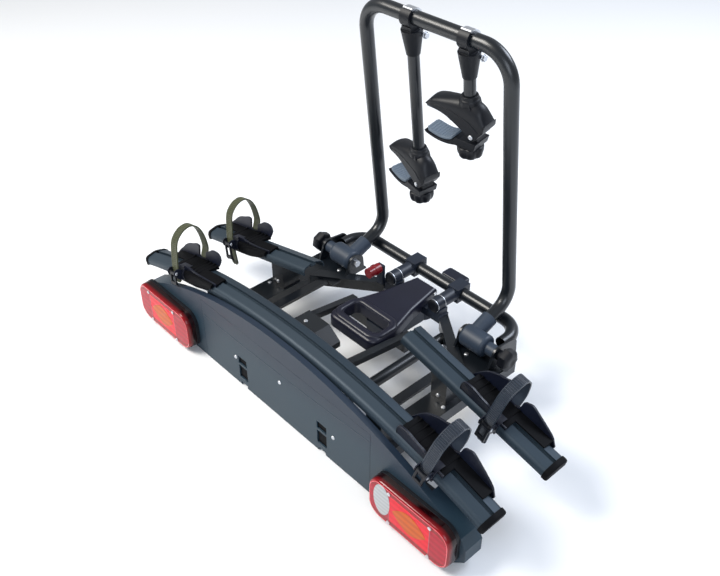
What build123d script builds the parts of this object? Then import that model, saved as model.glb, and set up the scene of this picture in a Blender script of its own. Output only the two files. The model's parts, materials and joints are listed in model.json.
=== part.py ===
from build123d import *
import math
import os

# Tow-ball bike carrier for two bikes, in millimetres.
# Origin at the centre of the tow-ball socket: X across the car, +Y towards the car, +Z up.
# The light board faces -Y, and left and right are as seen from behind the car.

# Tow-ball socket and coupling
socket_r = 25.2
socket_wall_low = -24
socket_wall_high = 4
socket_dome = 22.2
housing_r = 36
housing_roof = 30
wing_half = 92
wing_low = 10
wing_front = -6
wing_rear = -34
tail_half = 30
tail_end = -150
tail_top = 14
saddle_side = 2
saddle_drop = 8
shoe_half = 14
shoe_low = -22
shoe_high = -2
shoe_end = -48
shoe_front = -15
slide_gap = 0.3

# Base hoop and its clamps
tube_r = 15
tube_wall = 2
hoop_y = 50
hoop_z = 50
hoop_half = 258
hoop_leg_end = -20
hoop_bend_r = 52
clamp_x = 70
clamp_half = 16
sleeve_r = 16
sleeve_z = 52
sleeve_end = -36
clamp_low = 32
clamp_high = 70
clamp_front = 22
clamp_rear = 20
sleeve_wall = 4
sleeve_depth = 30
fit_gap = 0.05

# Plug holder
plug_x0 = -8
plug_x1 = 58
plug_y0 = 73
plug_y1 = 107
plug_z0 = 22
plug_z1 = 52
plug_corner = 8
plug_edge = 5
plug_arm_x0 = 12
plug_arm_x1 = 52
plug_arm_low = 32
plug_arm_high = 46
plug_bore_r = 15
plug_bore_depth = 22

# Coupling lever
lever_pivot_y = 8
lever_pivot_z = 44
lever_pin_r = 4
lever_lug_r = 6.2
lever_top = 55
lever_front_low = 35
lever_rear_low = 26
lever_nose = 9.5
lever_step_y = -45
lever_wall = 4.5
lever_front_half = 32
lever_waist_half = 50
lever_waist_y = -80
lever_grip_half = 75
lever_grip_y = -163
lever_end = -232
lever_corner = 22
lever_edge = 9
grip_depth = 28
hand_hole_half = 56
hand_hole_depth = 50
hand_hole_corner = 14
lug_half_width = 20

# Release knob beside the coupling
post_x = -100
post_y = -36
post_z = 73
post_low = 27
release_post = 28
release_start = 8.5
release_knob_r = 12.5
release_knob_length = 36
release_collar = 1.5
post_r = 4
post_plate = 8

# Upright frame
pivot_y = -51
pivot_z = 50
upright_half = 201
upright_top_half = 194
upright_top_z = 686
upright_lean = 7.45
upright_line_y = 80.2
lower_run_rise = 22
lower_bend_r = 50
top_bend_r = 65
foot_r = 26
foot_inner = 181.5
foot_outer = 272.7
foot_barrel_end = 248
foot_round = 9
foot_boss_r = 15
foot_socket_start = 10
foot_socket_wall = 3.5
foot_insert = 28
foot_socket_end = 62
pivot_bolt_r = 5
bolt_head_r = 9
bolt_head = 8
knob_reach = 26
pivot_knob_r = 26
running_gap = 0.06

# Side frames
arm_inner = 238
arm_outer = 300
arm_low = -8
arm_high = 20
arm_wall = 3
ear_thick = 5
ear_gap = 0.5
ear_r = 20
ear_rear = -84
inner_ear_front = -22
outer_ear_front = 12
inner_lug_y = -40
hoop_lug_y = -6
ear_lug_r = 15
brace_low = -2
brace_high = 26
foot_plate_thick = 4
foot_plate_rear = -125
arm_front = -15
inner_bar_x = 207
inner_bar_half = 11
inner_bar_thick = 8
inner_bar_front = -120
step_tube_x = 125
step_tube_z = 4
step_tube_r = 13
step_tube_front = -42
step_tube_solid = 28

# Wheel rails
rail_half = 30
rail_depth = 22
rail_wall = 2.5
rail_shoulder_r = 11
groove_half = 4.5
groove_depth = 6
near_drop = 6
far_drop = 7
rail_y = {"rear": -382, "front": -198}
rear_rail_crown = 139
rear_rail_r = 1700
rear_rail_reach = 545
front_rail_top = 131.6
front_rail_slope = 13.17
front_rail_start = 160
front_rail_reach = 541
cap_length = 13
cap_skin = 1.5
cap_chamfer = 4
support_half_x = 21
support_half_y = 25
post_shoulder = -18
post_seat_half = 16
seat_gap = 0.05
support_x = 264
bracket_half = 35
bracket_thick = 5
bracket_gap = 0.6

# Support bars
bar_half = 8
bar_wall = 2
bar_centre = 27
bar_climb = 8.25
left_bar_x = -95
right_bar_x = 86
crossbar_low = -8
crossbar_high = 21
crossbar_width = 24
crosspiece_low = 42
crosspiece_high = 72
bracket_block_left = -54
bracket_block_right = 46
bracket_block_shoulder = 12
bracket_block_depth = 52
bracket_block_high = 110
bracket_block_side = 84

# Wheel holders
holder_half = 142
holder_gap = 0.4
holder_wall = 3.2
holder_floor = 4
holder_flare = 11.5
holder_height = 46
near_foot = 24
near_flare = 8
clamp_block_half = 17
strap_width = 24
strap_thick = 3.5
strap_gate = (-40.4, 12)
strap_spring = (-30, 61)
strap_crown = (12, 96)
strap_haunch = (44, 64)
strap_lean = (47.5, 27)
strap_hem = (38.8, 8)
strap_tail_q = -41.5
strap_foot_high = -3
strap_foot_low = -16
strap_places = {"right_rear": 416, "left_rear": -384, "right_front": 409, "left_front": -428}
strap_notch = 8
buckle_gap = 0.5
cheek_thick = 2.5
buckle_pivot_y = -50
buckle_pivot_h = 2
buckle_pin_r = 2.5
buckle_play = 0.3
cheek_low_z = -16
cheek_back = -56
cheek_top = 10
buckle_top = 7
lip_reach = 4
lip_drop = 3
rear_tail = 26
front_tail = 60
rear_lever_drop = 28
front_lever_drop = 42

# Light board
board_face = -430
board_bottom = -90
board_crown = 129
board_r = 1068
board_depth = 14
board_end_depth = 45
board_end_x = 532
board_shoulder = 518
board_deep_from = 430
board_wall = 3
panel_half = 280
panel_top = 78
panel_thick = 4
panel_gap = 0.6
panel_seat = 0.2
slot_x = 135
slot_half = 15
slot_rows = ((-68, -32), (-26, -6))
notch_half = 11
notch_top = -82
panel_screw_z = 17
panel_screw_r = 2.6
panel_rim = 3
lamp_inner = 306
lamp_outer = 518
lamp_low = -87
lamp_high = 18
lamp_corner = 34
lens_depth = 22
lens_wall = 3
housing_flange = 8
lamp_margin = 11
screw_xs = (364, 469)
screw_zs = (-77, 6)

# Bike-frame holders hanging from the upright's top bar
saddle_r = 22
saddle_half = 13
hook_thick = 4
hook_half = 12
collar_top = -26
collar_low = -80
collar_top_r = 23
collar_low_r = 14.6
arm_tube_r = 12.5
arm_tube_wall = 2
arm_insert = -52
head_pin_r = 4
head_pin_w = -38
jaw_half = 24
jaw_back = 47
jaw_tip = -98
jaw_pivot_u = 18
jaw_pivot_w = -71
jaw_pin_r = 3.5
lug_half = 14
rod_r = 4
pad_half = 21
knob_r = 28
knob_top = -104
knob_low = -133

os.makedirs("parts", exist_ok=True)


def save(part, label):
    part.label = label
    export_step(part, f"parts/{label}.step")
    print(label, round(part.volume), len(part.solids()))


def save_pair(part, label):
    save(part, f"right_{label}")
    save(mirror(part, about=Plane.YZ, mode=Mode.PRIVATE), f"left_{label}")


def facing(y):
    # An upright plane at depth y whose normal points to -Y, with X to the right and Z up.
    return Plane(origin=(0, y, 0), x_dir=(1, 0, 0), z_dir=(0, -1, 0))


def across(x):
    # An upright plane at width x whose normal points to +X, with Y to the right and Z up.
    return Plane(origin=(x, 0, 0), x_dir=(0, 1, 0), z_dir=(1, 0, 0))


def bent_tube(points, radius, outer, wall):
    with BuildPart() as tube:
        with BuildLine() as path:
            FilletPolyline(*points, radius=radius)
        start = path.line @ 0
        with BuildSketch(Plane(origin=start, z_dir=path.line % 0)):
            Circle(outer)
            Circle(outer - wall, mode=Mode.SUBTRACT)
        sweep(path=path.line)
    return tube.part


def block(x0, x1, y0, y1, z0, z1):
    with BuildPart() as piece:
        with BuildSketch(Plane.XY.offset(z0)):
            with Locations(((x0 + x1) / 2, (y0 + y1) / 2)):
                Rectangle(x1 - x0, y1 - y0)
        extrude(amount=z1 - z0)
    return piece.part


def rod_x(x0, x1, y, z, radius):
    with BuildPart() as piece:
        with BuildSketch(across(x0)):
            with Locations((y, z)):
                Circle(radius)
        extrude(amount=x1 - x0)
    return piece.part


def rod_y(x, z, y0, y1, radius):
    # From the plane y0 towards -Y as far as y1.
    with BuildPart() as piece:
        with BuildSketch(facing(y0)):
            with Locations((x, z)):
                Circle(radius)
        extrude(amount=y0 - y1)
    return piece.part


# Base hoop: the crossbar behind the tow ball, with its legs running to the side brackets
hoop = bent_tube(
    [(hoop_half, hoop_leg_end, hoop_z), (hoop_half, hoop_y, hoop_z), (-hoop_half, hoop_y, hoop_z),
     (-hoop_half, hoop_leg_end, hoop_z)],
    hoop_bend_r, tube_r, tube_wall)
save(hoop, "base_hoop")

# Hoop clamps: a split block on the crossbar, with a sleeve running back over the coupling's wing
with BuildPart() as hoop_clamps:
    for x in (-clamp_x, clamp_x):
        add(block(x - clamp_half, x + clamp_half, hoop_y - clamp_rear, hoop_y + clamp_front,
                  clamp_low, clamp_high))
        add(rod_y(x, sleeve_z, hoop_y - tube_r, sleeve_end, sleeve_r))
        add(rod_y(x, sleeve_z, sleeve_end + sleeve_depth, sleeve_end, sleeve_r - sleeve_wall),
            mode=Mode.SUBTRACT)
        add(rod_x(x - clamp_half, x + clamp_half, hoop_y, hoop_z, tube_r + fit_gap), mode=Mode.SUBTRACT)
save(hoop_clamps.part, "hoop_clamps")

# Coupling body: ball housing, wings under the sleeves, and a tail with a crossbar for the centre bars
with BuildPart() as coupling_body:
    with BuildSketch(Plane.XY.offset(socket_wall_low)):
        Circle(housing_r)
    extrude(amount=housing_roof - socket_wall_low)
    add(block(-tail_half, tail_half, tail_end, 0, socket_wall_low, tail_top))
    add(block(-wing_half, wing_half, wing_rear, wing_front, wing_low, housing_roof))
    for x in (-clamp_x, clamp_x):
        add(block(x - clamp_half - saddle_side, x + clamp_half + saddle_side, wing_rear, wing_front,
                  housing_roof, sleeve_z - saddle_drop))
        add(rod_y(x, sleeve_z, wing_front, wing_rear, sleeve_r + fit_gap), mode=Mode.SUBTRACT)
    add(block(post_x - post_plate, post_plate / 2 - wing_half, post_y - post_plate, post_y,
              post_low, post_z + post_plate))
    add(block(post_x - post_plate, post_plate / 2 - wing_half, post_y - post_plate,
              wing_rear + post_plate, post_low, post_low + post_plate))
    with BuildSketch(across(-lug_half_width)):
        with Locations((lever_pivot_y, lever_pivot_z)):
            Circle(lever_lug_r)
        with Locations((lever_pivot_y, (housing_roof + lever_pivot_z) / 2)):
            Rectangle(2 * lever_lug_r, lever_pivot_z - housing_roof)
    extrude(amount=2 * lug_half_width)
    add(rod_x(-lug_half_width, lug_half_width, lever_pivot_y, lever_pivot_z, lever_pin_r + running_gap),
        mode=Mode.SUBTRACT)
    add(rod_y(post_x, post_z, post_y - post_plate / 2, post_y - release_post, post_r))
    with BuildSketch(Plane.XY.offset(socket_wall_low)):
        Circle(socket_r)
    extrude(amount=socket_wall_high - socket_wall_low, mode=Mode.SUBTRACT)
    with BuildSketch(Plane.XZ):
        with BuildLine():
            Line((0, socket_wall_high), (socket_r, socket_wall_high))
            RadiusArc((socket_r, socket_wall_high), (0, socket_wall_high + socket_dome), -socket_r)
            Line((0, socket_wall_high + socket_dome), (0, socket_wall_high))
        make_face()
    revolve(axis=Axis.Z, mode=Mode.SUBTRACT)
    add(block(-shoe_half - slide_gap, shoe_half + slide_gap, shoe_end - 5, shoe_front - 3,
          shoe_low - slide_gap, shoe_high + slide_gap), mode=Mode.SUBTRACT)
save(coupling_body.part, "coupling_body")

# Clamp shoe: it presses on the ball from the rear when the lever is down
with BuildPart() as clamp_shoe:
    add(block(-shoe_half, shoe_half, shoe_end, shoe_front, shoe_low, shoe_high))
    with BuildSketch(Plane.XY.offset(shoe_low)):
        Circle(socket_r)
    extrude(amount=shoe_high - shoe_low, mode=Mode.SUBTRACT)
save(clamp_shoe.part, "clamp_shoe")

# Release knob: it turns on a fixed post at the left end of the wing
with BuildPart() as release_knob:
    knob_front = post_y - release_start
    add(rod_y(post_x, post_z, knob_front, knob_front - release_knob_length, release_knob_r))
    add(rod_y(post_x, post_z, post_y - 20, post_y - 26, release_knob_r + release_collar))
    add(rod_y(post_x, post_z, knob_front, post_y - release_post - 2, post_r + running_gap),
        mode=Mode.SUBTRACT)
save(release_knob.part, "release_knob")

# Coupling lever: a deep pressed cover that ends in a thick rounded loop round a wide hand hole
lever_front = lever_pivot_y + lever_nose
pocket_rear = lever_end + grip_depth + hand_hole_depth + lever_wall
pocket_rear_half = hand_hole_half + lever_wall
lever_side = [(-lever_front_half, lever_front), (-lever_waist_half, lever_waist_y),
              (-lever_grip_half, lever_grip_y), (-lever_grip_half, lever_end)]
pocket_side = [(lever_wall - lever_front_half, lever_pivot_y + 3),
               (lever_wall - lever_waist_half, lever_waist_y), (-pocket_rear_half, pocket_rear)]
with BuildPart() as coupling_lever:
    with BuildSketch(Plane.XY.offset(lever_rear_low)) as lever_plan:
        with BuildLine():
            Polyline(*lever_side, *[(-x, y) for x, y in reversed(lever_side)], close=True)
        make_face()
        fillet(lever_plan.vertices().group_by(Axis.Y)[0], radius=lever_corner)
    extrude(amount=lever_top - lever_rear_low)
    fillet(coupling_lever.faces().sort_by(Axis.Z)[-1].edges(), radius=lever_edge)
    add(block(-60, 60, lever_step_y, 40, lever_rear_low, lever_front_low), mode=Mode.SUBTRACT)
    with BuildSketch(Plane.XY.offset(lever_rear_low)):
        with BuildLine():
            Polyline(*pocket_side, *[(-x, y) for x, y in reversed(pocket_side)], close=True)
        make_face()
    extrude(amount=lever_top - lever_wall - lever_rear_low, mode=Mode.SUBTRACT)
    add(block(-lug_half_width - 1.5, lug_half_width + 1.5, lever_pivot_y - 2, 40, lever_rear_low,
              lever_top - lever_wall), mode=Mode.SUBTRACT)
    with BuildSketch(Plane.XY.offset(lever_rear_low)):
        with Locations((0, lever_end + grip_depth + hand_hole_depth / 2)):
            RectangleRounded(2 * hand_hole_half, hand_hole_depth, hand_hole_corner)
    extrude(amount=lever_top - lever_rear_low, mode=Mode.SUBTRACT)
    add(rod_x(-60, 60, lever_pivot_y, lever_pivot_z, lever_pin_r + running_gap), mode=Mode.SUBTRACT)
save(coupling_lever.part, "coupling_lever")

with BuildPart() as lever_pin:
    add(rod_x(-37, 37, lever_pivot_y, lever_pivot_z, lever_pin_r))
save(lever_pin.part, "lever_pin")


# Wheel rails: a shallow crowned aluminium section with a centre groove.
# The rear rail is one wide arc, and the front rail is two straight pieces sloping to the sides.
def rail_point(row, x):
    # The height of the rail's crown line at this x, and its slope in radians, falling towards +X.
    if row == "rear":
        slope = math.asin(x / rear_rail_r)
        return rear_rail_crown - rear_rail_r * (1 - math.cos(slope)), slope
    slope = math.radians(front_rail_slope)
    height = front_rail_top - (abs(x) - front_rail_start) * math.tan(slope)
    return height, math.copysign(slope, x)


def rail_section(row, x):
    # Square to the rail at this x: local x is +Y, and local y points up out of the rail.
    height, slope = rail_point(row, x)
    return Plane(origin=(x, rail_y[row], height), x_dir=(0, 1, 0),
                 z_dir=(math.cos(slope), 0, -math.sin(slope)))


def along_rail(row, x0, x1, outline, rounds=()):
    # A closed outline carried along the rail, with a fillet at each point that rounds names.
    with BuildPart() as piece:
        with BuildSketch(rail_section(row, x0)) as profile:
            with BuildLine():
                Polyline(*outline, close=True)
            make_face()
            for point, radius in rounds:
                fillet(profile.vertices().sort_by_distance(point)[0], radius)
        if row == "rear":
            turn = math.degrees(math.asin(x1 / rear_rail_r) - math.asin(x0 / rear_rail_r))
            arc_axis = Axis((0, rail_y[row], rear_rail_crown - rear_rail_r), (0, 1, 0))
            revolve(axis=arc_axis, revolution_arc=turn)
        else:
            extrude(amount=(x1 - x0) / math.cos(math.radians(front_rail_slope)))
    return piece.part


def wheel_rail(row, start, end):
    w = rail_wall
    under_groove = (-w - 0.8, -groove_depth - w)
    outline = [(-rail_half, -rail_depth), (-rail_half, -near_drop), (-groove_half, 0),
               (-groove_half, -groove_depth), (groove_half, -groove_depth), (groove_half, 0),
               (rail_half, -far_drop), (rail_half, -rail_depth), (rail_half - w, -rail_depth),
               (rail_half - w, -far_drop - w), (groove_half + w, under_groove[0]),
               (groove_half + w, under_groove[1]), (-groove_half - w, under_groove[1]),
               (-groove_half - w, under_groove[0]), (-rail_half + w, -near_drop - w),
               (-rail_half + w, -rail_depth)]
    rounds = (((-rail_half, -near_drop), rail_shoulder_r), ((rail_half, -far_drop), rail_shoulder_r),
              ((-rail_half + w, -near_drop - w), rail_shoulder_r - w),
              ((rail_half - w, -far_drop - w), rail_shoulder_r - w))
    return along_rail(row, start, end, outline, rounds)


save(wheel_rail("rear", -rear_rail_reach, rear_rail_reach), "rear_rail")
save_pair(wheel_rail("front", front_rail_start, front_rail_reach), "front_rail")


def rail_cap(row, reach):
    side = rail_half + cap_skin
    low = -rail_depth - cap_skin
    outline = [(-side, low), (-side, cap_skin - near_drop), (-groove_half, cap_skin),
               (groove_half, cap_skin), (side, cap_skin - far_drop), (side, low)]
    rounds = (((-side, cap_skin - near_drop), rail_shoulder_r + cap_skin),
              ((side, cap_skin - far_drop), rail_shoulder_r + cap_skin))
    with BuildPart() as cap:
        add(along_rail(row, reach, reach + cap_length, outline, rounds))
        chamfer(cap.faces().sort_by(Axis.X)[-1].edges(), length=cap_chamfer)
    return cap.part


with BuildPart() as rail_end_caps:
    for row, reach in (("rear", rear_rail_reach), ("front", front_rail_reach)):
        one_cap = rail_cap(row, reach)
        add(one_cap)
        add(mirror(one_cap, about=Plane.YZ, mode=Mode.PRIVATE))
save(rail_end_caps.part, "rail_end_caps")

# Side frames: a boxed arm from the board to the pivot, with its ears, foot plate and brace
board_back_wall = board_face + panel_thick + panel_seat + board_wall
inner_ear = foot_inner - ear_gap - ear_thick
outer_ear = foot_outer + ear_gap


def brace():
    with BuildPart() as piece:
        with BuildSketch(Plane.XY.offset(brace_low)):
            with BuildLine():
                Polyline((wing_half, wing_front - 2), (wing_half, wing_rear - 2), (arm_inner, -146),
                         (arm_inner, -112), close=True)
            make_face()
        extrude(amount=brace_high - brace_low)
    return piece.part


def foot_plate():
    return block(inner_ear, arm_inner, foot_plate_rear, arm_front, arm_high - foot_plate_thick, arm_high)


def ear(x, front, lug_y):
    # A plate from the arm up round the pivot, and on to a rounded lug at lug_y beside the hoop.
    outline = [(ear_rear, arm_high - 1), (pivot_y - ear_r, pivot_z), (pivot_y, pivot_z + ear_r),
               (lug_y, pivot_z + ear_lug_r), (lug_y + ear_lug_r, pivot_z), (front, arm_high - 1)]
    with BuildPart() as plate:
        with BuildSketch(across(x)):
            with BuildLine():
                Polyline(*outline, close=True)
            make_face()
            with Locations((pivot_y, pivot_z)):
                Circle(ear_r)
            with Locations((lug_y, pivot_z)):
                Circle(ear_lug_r)
        extrude(amount=ear_thick)
    return plate.part


def side_frame():
    with BuildPart() as frame:
        add(block(arm_inner, arm_outer, board_back_wall, arm_front, arm_low, arm_high))
        add(block(arm_inner + arm_wall, arm_outer - arm_wall, board_back_wall, arm_front,
                  arm_low + arm_wall, arm_high - arm_wall), mode=Mode.SUBTRACT)
        add(foot_plate())
        add(ear(inner_ear, inner_ear_front, inner_lug_y))
        add(ear(outer_ear, outer_ear_front, hoop_lug_y))
        for x in (inner_ear, outer_ear):
            add(rod_x(x, x + ear_thick, pivot_y, pivot_z, pivot_bolt_r + running_gap), mode=Mode.SUBTRACT)
        add(brace())
    return frame.part


with BuildPart() as right_side_frame:
    add(side_frame())
    add(rod_y(step_tube_x, step_tube_z, step_tube_front, board_back_wall, step_tube_r))
    add(rod_y(step_tube_x, step_tube_z, step_tube_front - step_tube_solid, board_back_wall,
              step_tube_r - tube_wall), mode=Mode.SUBTRACT)
save(right_side_frame.part, "right_side_frame")

save(mirror(side_frame(), about=Plane.YZ, mode=Mode.PRIVATE), "left_side_frame")

# Support bars: square tubes that climb from a crossbar at the coupling's tail to the rear rail's
# bracket, and a flat inner bar beside each boxed arm
with BuildPart() as inner_bar:
    add(block(inner_bar_x - inner_bar_half, inner_bar_x + inner_bar_half, board_back_wall,
              inner_bar_front, arm_high - inner_bar_thick, arm_high))
    add(brace(), mode=Mode.SUBTRACT)
    add(foot_plate(), mode=Mode.SUBTRACT)

bar_front = tail_end + crossbar_width
bracket_front = rail_y["rear"] + rail_half + 2
crosspiece_front = bracket_front + crossbar_width


def climbing_bar(x, half):
    # A square bar at this x, from the crossbar up to the front of the rail bracket's crosspiece.
    climb = math.tan(math.radians(bar_climb))
    tail_z = bar_centre
    end_z = bar_centre + climb * (bar_front - crosspiece_front)
    with BuildPart() as bar:
        with BuildSketch(across(x - half)):
            with BuildLine():
                Polyline((bar_front, tail_z - half), (bar_front, tail_z + half),
                         (crosspiece_front, end_z + half), (crosspiece_front, end_z - half), close=True)
            make_face()
        extrude(amount=2 * half)
    return bar.part


with BuildPart() as support_bars:
    for x, tail_side in ((left_bar_x, -tail_half), (right_bar_x, tail_half)):
        outer_end = x + math.copysign(bar_half, x)
        add(block(min(outer_end, tail_side), max(outer_end, tail_side), tail_end, bar_front,
                  crossbar_low, crossbar_high))
        add(climbing_bar(x, bar_half))
        add(climbing_bar(x, bar_half - bar_wall), mode=Mode.SUBTRACT)
    add(inner_bar.part)
    add(mirror(inner_bar.part, about=Plane.YZ, mode=Mode.PRIVATE))
save(support_bars.part, "support_bars")

# Rail supports: a folded post on each boxed arm under each rail, and a bracket on the centre bars
rail_underside = rear_rail_crown - rail_depth - bracket_gap
with BuildPart() as rail_supports:
    for row, y in rail_y.items():
        with BuildPart(mode=Mode.PRIVATE) as post:
            add(block(support_x - support_half_x, support_x + support_half_x, y - support_half_y,
                      y + support_half_y, arm_high, rear_rail_crown))
            add(block(support_x - support_half_x + arm_wall, support_x + support_half_x - arm_wall,
                      y - support_half_y + arm_wall, y + support_half_y, arm_high, rear_rail_crown),
                mode=Mode.SUBTRACT)
            top = -groove_depth - rail_wall - seat_gap
            over_post = [(-2 * rail_half, post_shoulder), (-support_half_y, post_shoulder),
                         (-post_seat_half, top), (post_seat_half, top), (support_half_y, post_shoulder),
                         (2 * rail_half, post_shoulder), (2 * rail_half, 2 * rail_half),
                         (-2 * rail_half, 2 * rail_half)]
            add(along_rail(row, support_x - 2 * support_half_x, support_x + 2 * support_half_x, over_post),
                mode=Mode.SUBTRACT)
        add(post.part)
        add(mirror(post.part, about=Plane.YZ, mode=Mode.PRIVATE))
    add(block(left_bar_x - bar_half, right_bar_x + bar_half, bracket_front, crosspiece_front,
              crosspiece_low, crosspiece_high))
    with BuildSketch(facing(bracket_front + bracket_block_depth)):
        with BuildLine():
            Polyline((bracket_block_left, crosspiece_high - 2), (bracket_block_left, bracket_block_high),
                     (bracket_block_shoulder, bracket_block_high), (bracket_block_right, bracket_block_side),
                     (bracket_block_right, crosspiece_high - 2), close=True)
        make_face()
    extrude(amount=bracket_block_depth)
    add(block(-bracket_half, bracket_half, bracket_front, bracket_front + bracket_thick, crosspiece_high,
              rail_underside))
    add(block(-bracket_half, bracket_half, rail_y["rear"] + 8, bracket_front + bracket_thick,
              rail_underside - 4, rail_underside))
save(rail_supports.part, "rail_supports")


# Plug holder: a socket box behind the crossbar that parks the car's lighting plug
with BuildPart() as plug_holder:
    add(block(plug_x0, plug_x1, plug_y0, plug_y1, plug_z0, plug_z1))
    fillet(plug_holder.edges().filter_by(Axis.Z), radius=plug_corner)
    fillet(plug_holder.faces().sort_by(Axis.Z)[-1].edges(), radius=plug_edge)
    add(block(plug_arm_x0, plug_arm_x1, hoop_y, plug_y0 + 1, plug_arm_low, plug_arm_high))
    add(rod_x(plug_arm_x0, plug_arm_x1, hoop_y, hoop_z, tube_r + fit_gap), mode=Mode.SUBTRACT)
    with BuildSketch(Plane.XY.offset(plug_z0)):
        with Locations(((plug_x0 + plug_x1) / 2, (plug_y0 + plug_y1) / 2)):
            Circle(plug_bore_r)
    extrude(amount=plug_bore_depth, mode=Mode.SUBTRACT)
save(plug_holder.part, "plug_holder")

# Upright frame: one bent tube, leaning over the rails, with a cast foot on each end
def on_lower_run(t):
    rise = math.radians(lower_run_rise)
    return (pivot_y + t * math.cos(rise), pivot_z + t * math.sin(rise))


def on_leg(z):
    return upright_line_y - z * math.tan(math.radians(upright_lean))


rise = math.radians(lower_run_rise)
lean = math.tan(math.radians(upright_lean))
corner_t = (on_leg(pivot_z) - pivot_y) / (math.cos(rise) + lean * math.sin(rise))
corner_y, corner_z = on_lower_run(corner_t)
start_y, start_z = on_lower_run(foot_insert)
bar_y = on_leg(upright_top_z)
right_leg = [(upright_half, start_y, start_z), (upright_half, corner_y, corner_z),
             (upright_top_half, bar_y, upright_top_z)]
left_leg = [(-x, y, z) for x, y, z in reversed(right_leg)]
upright = bent_tube(right_leg + left_leg, [lower_bend_r, top_bend_r, top_bend_r, lower_bend_r],
                    tube_r, tube_wall)
save(upright, "upright_frame")

with BuildPart() as upright_foot:
    add(rod_x(foot_inner, foot_barrel_end, pivot_y, pivot_z, foot_r))
    fillet(upright_foot.edges().filter_by(GeomType.CIRCLE), radius=foot_round)
    add(rod_x(foot_barrel_end - 1, foot_outer, pivot_y, pivot_z, foot_boss_r))
    run_plane = Plane(origin=(upright_half, *on_lower_run(foot_socket_start)), x_dir=(1, 0, 0),
                      z_dir=(0, math.cos(rise), math.sin(rise)))
    with BuildSketch(run_plane):
        Circle(tube_r + foot_socket_wall)
    extrude(amount=foot_socket_end - foot_socket_start)
    add(rod_x(foot_inner, foot_outer, pivot_y, pivot_z, pivot_bolt_r + running_gap), mode=Mode.SUBTRACT)
    with BuildSketch(run_plane.offset(foot_insert - foot_socket_start)):
        Circle(tube_r + fit_gap)
    extrude(amount=foot_socket_end, mode=Mode.SUBTRACT)
save_pair(upright_foot.part, "upright_foot")

knob_start = foot_outer + ear_gap + ear_thick + 1
with BuildPart() as pivot_bolt:
    head_x = foot_inner - ear_gap - ear_thick
    with BuildSketch(across(head_x - bolt_head)):
        with Locations((pivot_y, pivot_z)):
            RegularPolygon(bolt_head_r, 6)
    extrude(amount=bolt_head)
    add(rod_x(head_x, knob_start + knob_reach - 2, pivot_y, pivot_z, pivot_bolt_r))
with BuildPart() as pivot_bolts:
    add(pivot_bolt.part)
    add(mirror(pivot_bolt.part, about=Plane.YZ, mode=Mode.PRIVATE))
save(pivot_bolts.part, "pivot_bolts")


def lobed_outline(radius, lobes):
    Circle(radius * 0.88)
    with PolarLocations(radius * 0.74, lobes):
        Circle(radius * 0.26)


with BuildPart() as pivot_knob:
    knob_plane = Plane(origin=(knob_start, pivot_y, pivot_z), x_dir=(0, 1, 0), z_dir=(1, 0, 0))
    with BuildSketch(knob_plane):
        Circle(13)
    extrude(amount=12)
    with BuildSketch(knob_plane.offset(10)):
        lobed_outline(pivot_knob_r, 6)
    extrude(amount=knob_reach)
    add(rod_x(knob_start, knob_start + knob_reach, pivot_y, pivot_z, pivot_bolt_r + running_gap),
        mode=Mode.SUBTRACT)
save_pair(pivot_knob.part, "pivot_knob")


# Bike-frame holders, in arm coordinates: u along the bar, v out of the upright's plane, w up the arm
def arm_place(x, swivel=0, drop=0):
    a = math.radians(upright_lean)
    along = (0, -math.sin(a), math.cos(a))
    base = Plane(origin=(x, bar_y, upright_top_z), x_dir=(1, 0, 0), z_dir=along)
    return base.location * Location((0, 0, -drop), (0, 0, swivel))


with BuildPart() as arm_head:
    with BuildSketch(Plane.YZ.offset(-saddle_half)):
        Circle(saddle_r)
        Circle(tube_r + fit_gap * 4, mode=Mode.SUBTRACT)
        with BuildLine():
            Polyline((0, 0), (-50, 77), (80, 77), (80, -60), (10.6, -60), close=True)
        make_face(mode=Mode.SUBTRACT)
    extrude(amount=2 * saddle_half)
    with BuildSketch(Plane.XY.offset(collar_top)):
        Circle(collar_top_r)
    with BuildSketch(Plane.XY.offset(collar_low)):
        Circle(collar_low_r)
    loft()
    add(block(-saddle_half, saddle_half, -16, 8.8, collar_top - 2, -17))
    add(block(-hook_half - 0.3, hook_half + 0.3, 9.3, 14.9, arm_insert + 1, 0), mode=Mode.SUBTRACT)
    with BuildSketch(Plane.XY.offset(collar_low)):
        Circle(arm_tube_r + running_gap)
    extrude(amount=arm_insert - collar_low, mode=Mode.SUBTRACT)
    add(rod_x(-30, 30, 12.1, head_pin_w, head_pin_r + fit_gap), mode=Mode.SUBTRACT)

hook_inner = tube_r + 0.3
with BuildPart() as arm_hook:
    with BuildSketch(Plane.YZ.offset(-hook_half)):
        with BuildLine():
            tip = 110
            low = -40
            a_tip = math.radians(tip)
            a_low = math.radians(low)
            outer = hook_inner + hook_thick
            inner_arc = CenterArc((0, 0), hook_inner, low, tip - low)
            outer_arc = CenterArc((0, 0), outer, low, tip - low)
            Line(inner_arc @ 0, outer_arc @ 0)
            Line(inner_arc @ 1, outer_arc @ 1)
        make_face()
        with Locations((outer * math.cos(a_tip), outer * math.sin(a_tip))):
            Circle(3.2)
        Circle(hook_inner, mode=Mode.SUBTRACT)
        with BuildLine():
            Polyline((hook_inner * math.cos(a_low), hook_inner * math.sin(a_low)),
                     (outer * math.cos(a_low) - 0.4, outer * math.sin(a_low) + 0.6),
                     (14.1, arm_insert + 1.5), (10.1, arm_insert + 1.5), (10.1, -13.5), close=True)
        make_face()
    extrude(amount=2 * hook_half)
    add(rod_x(-24, 24, 12.1, head_pin_w, head_pin_r))

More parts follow.
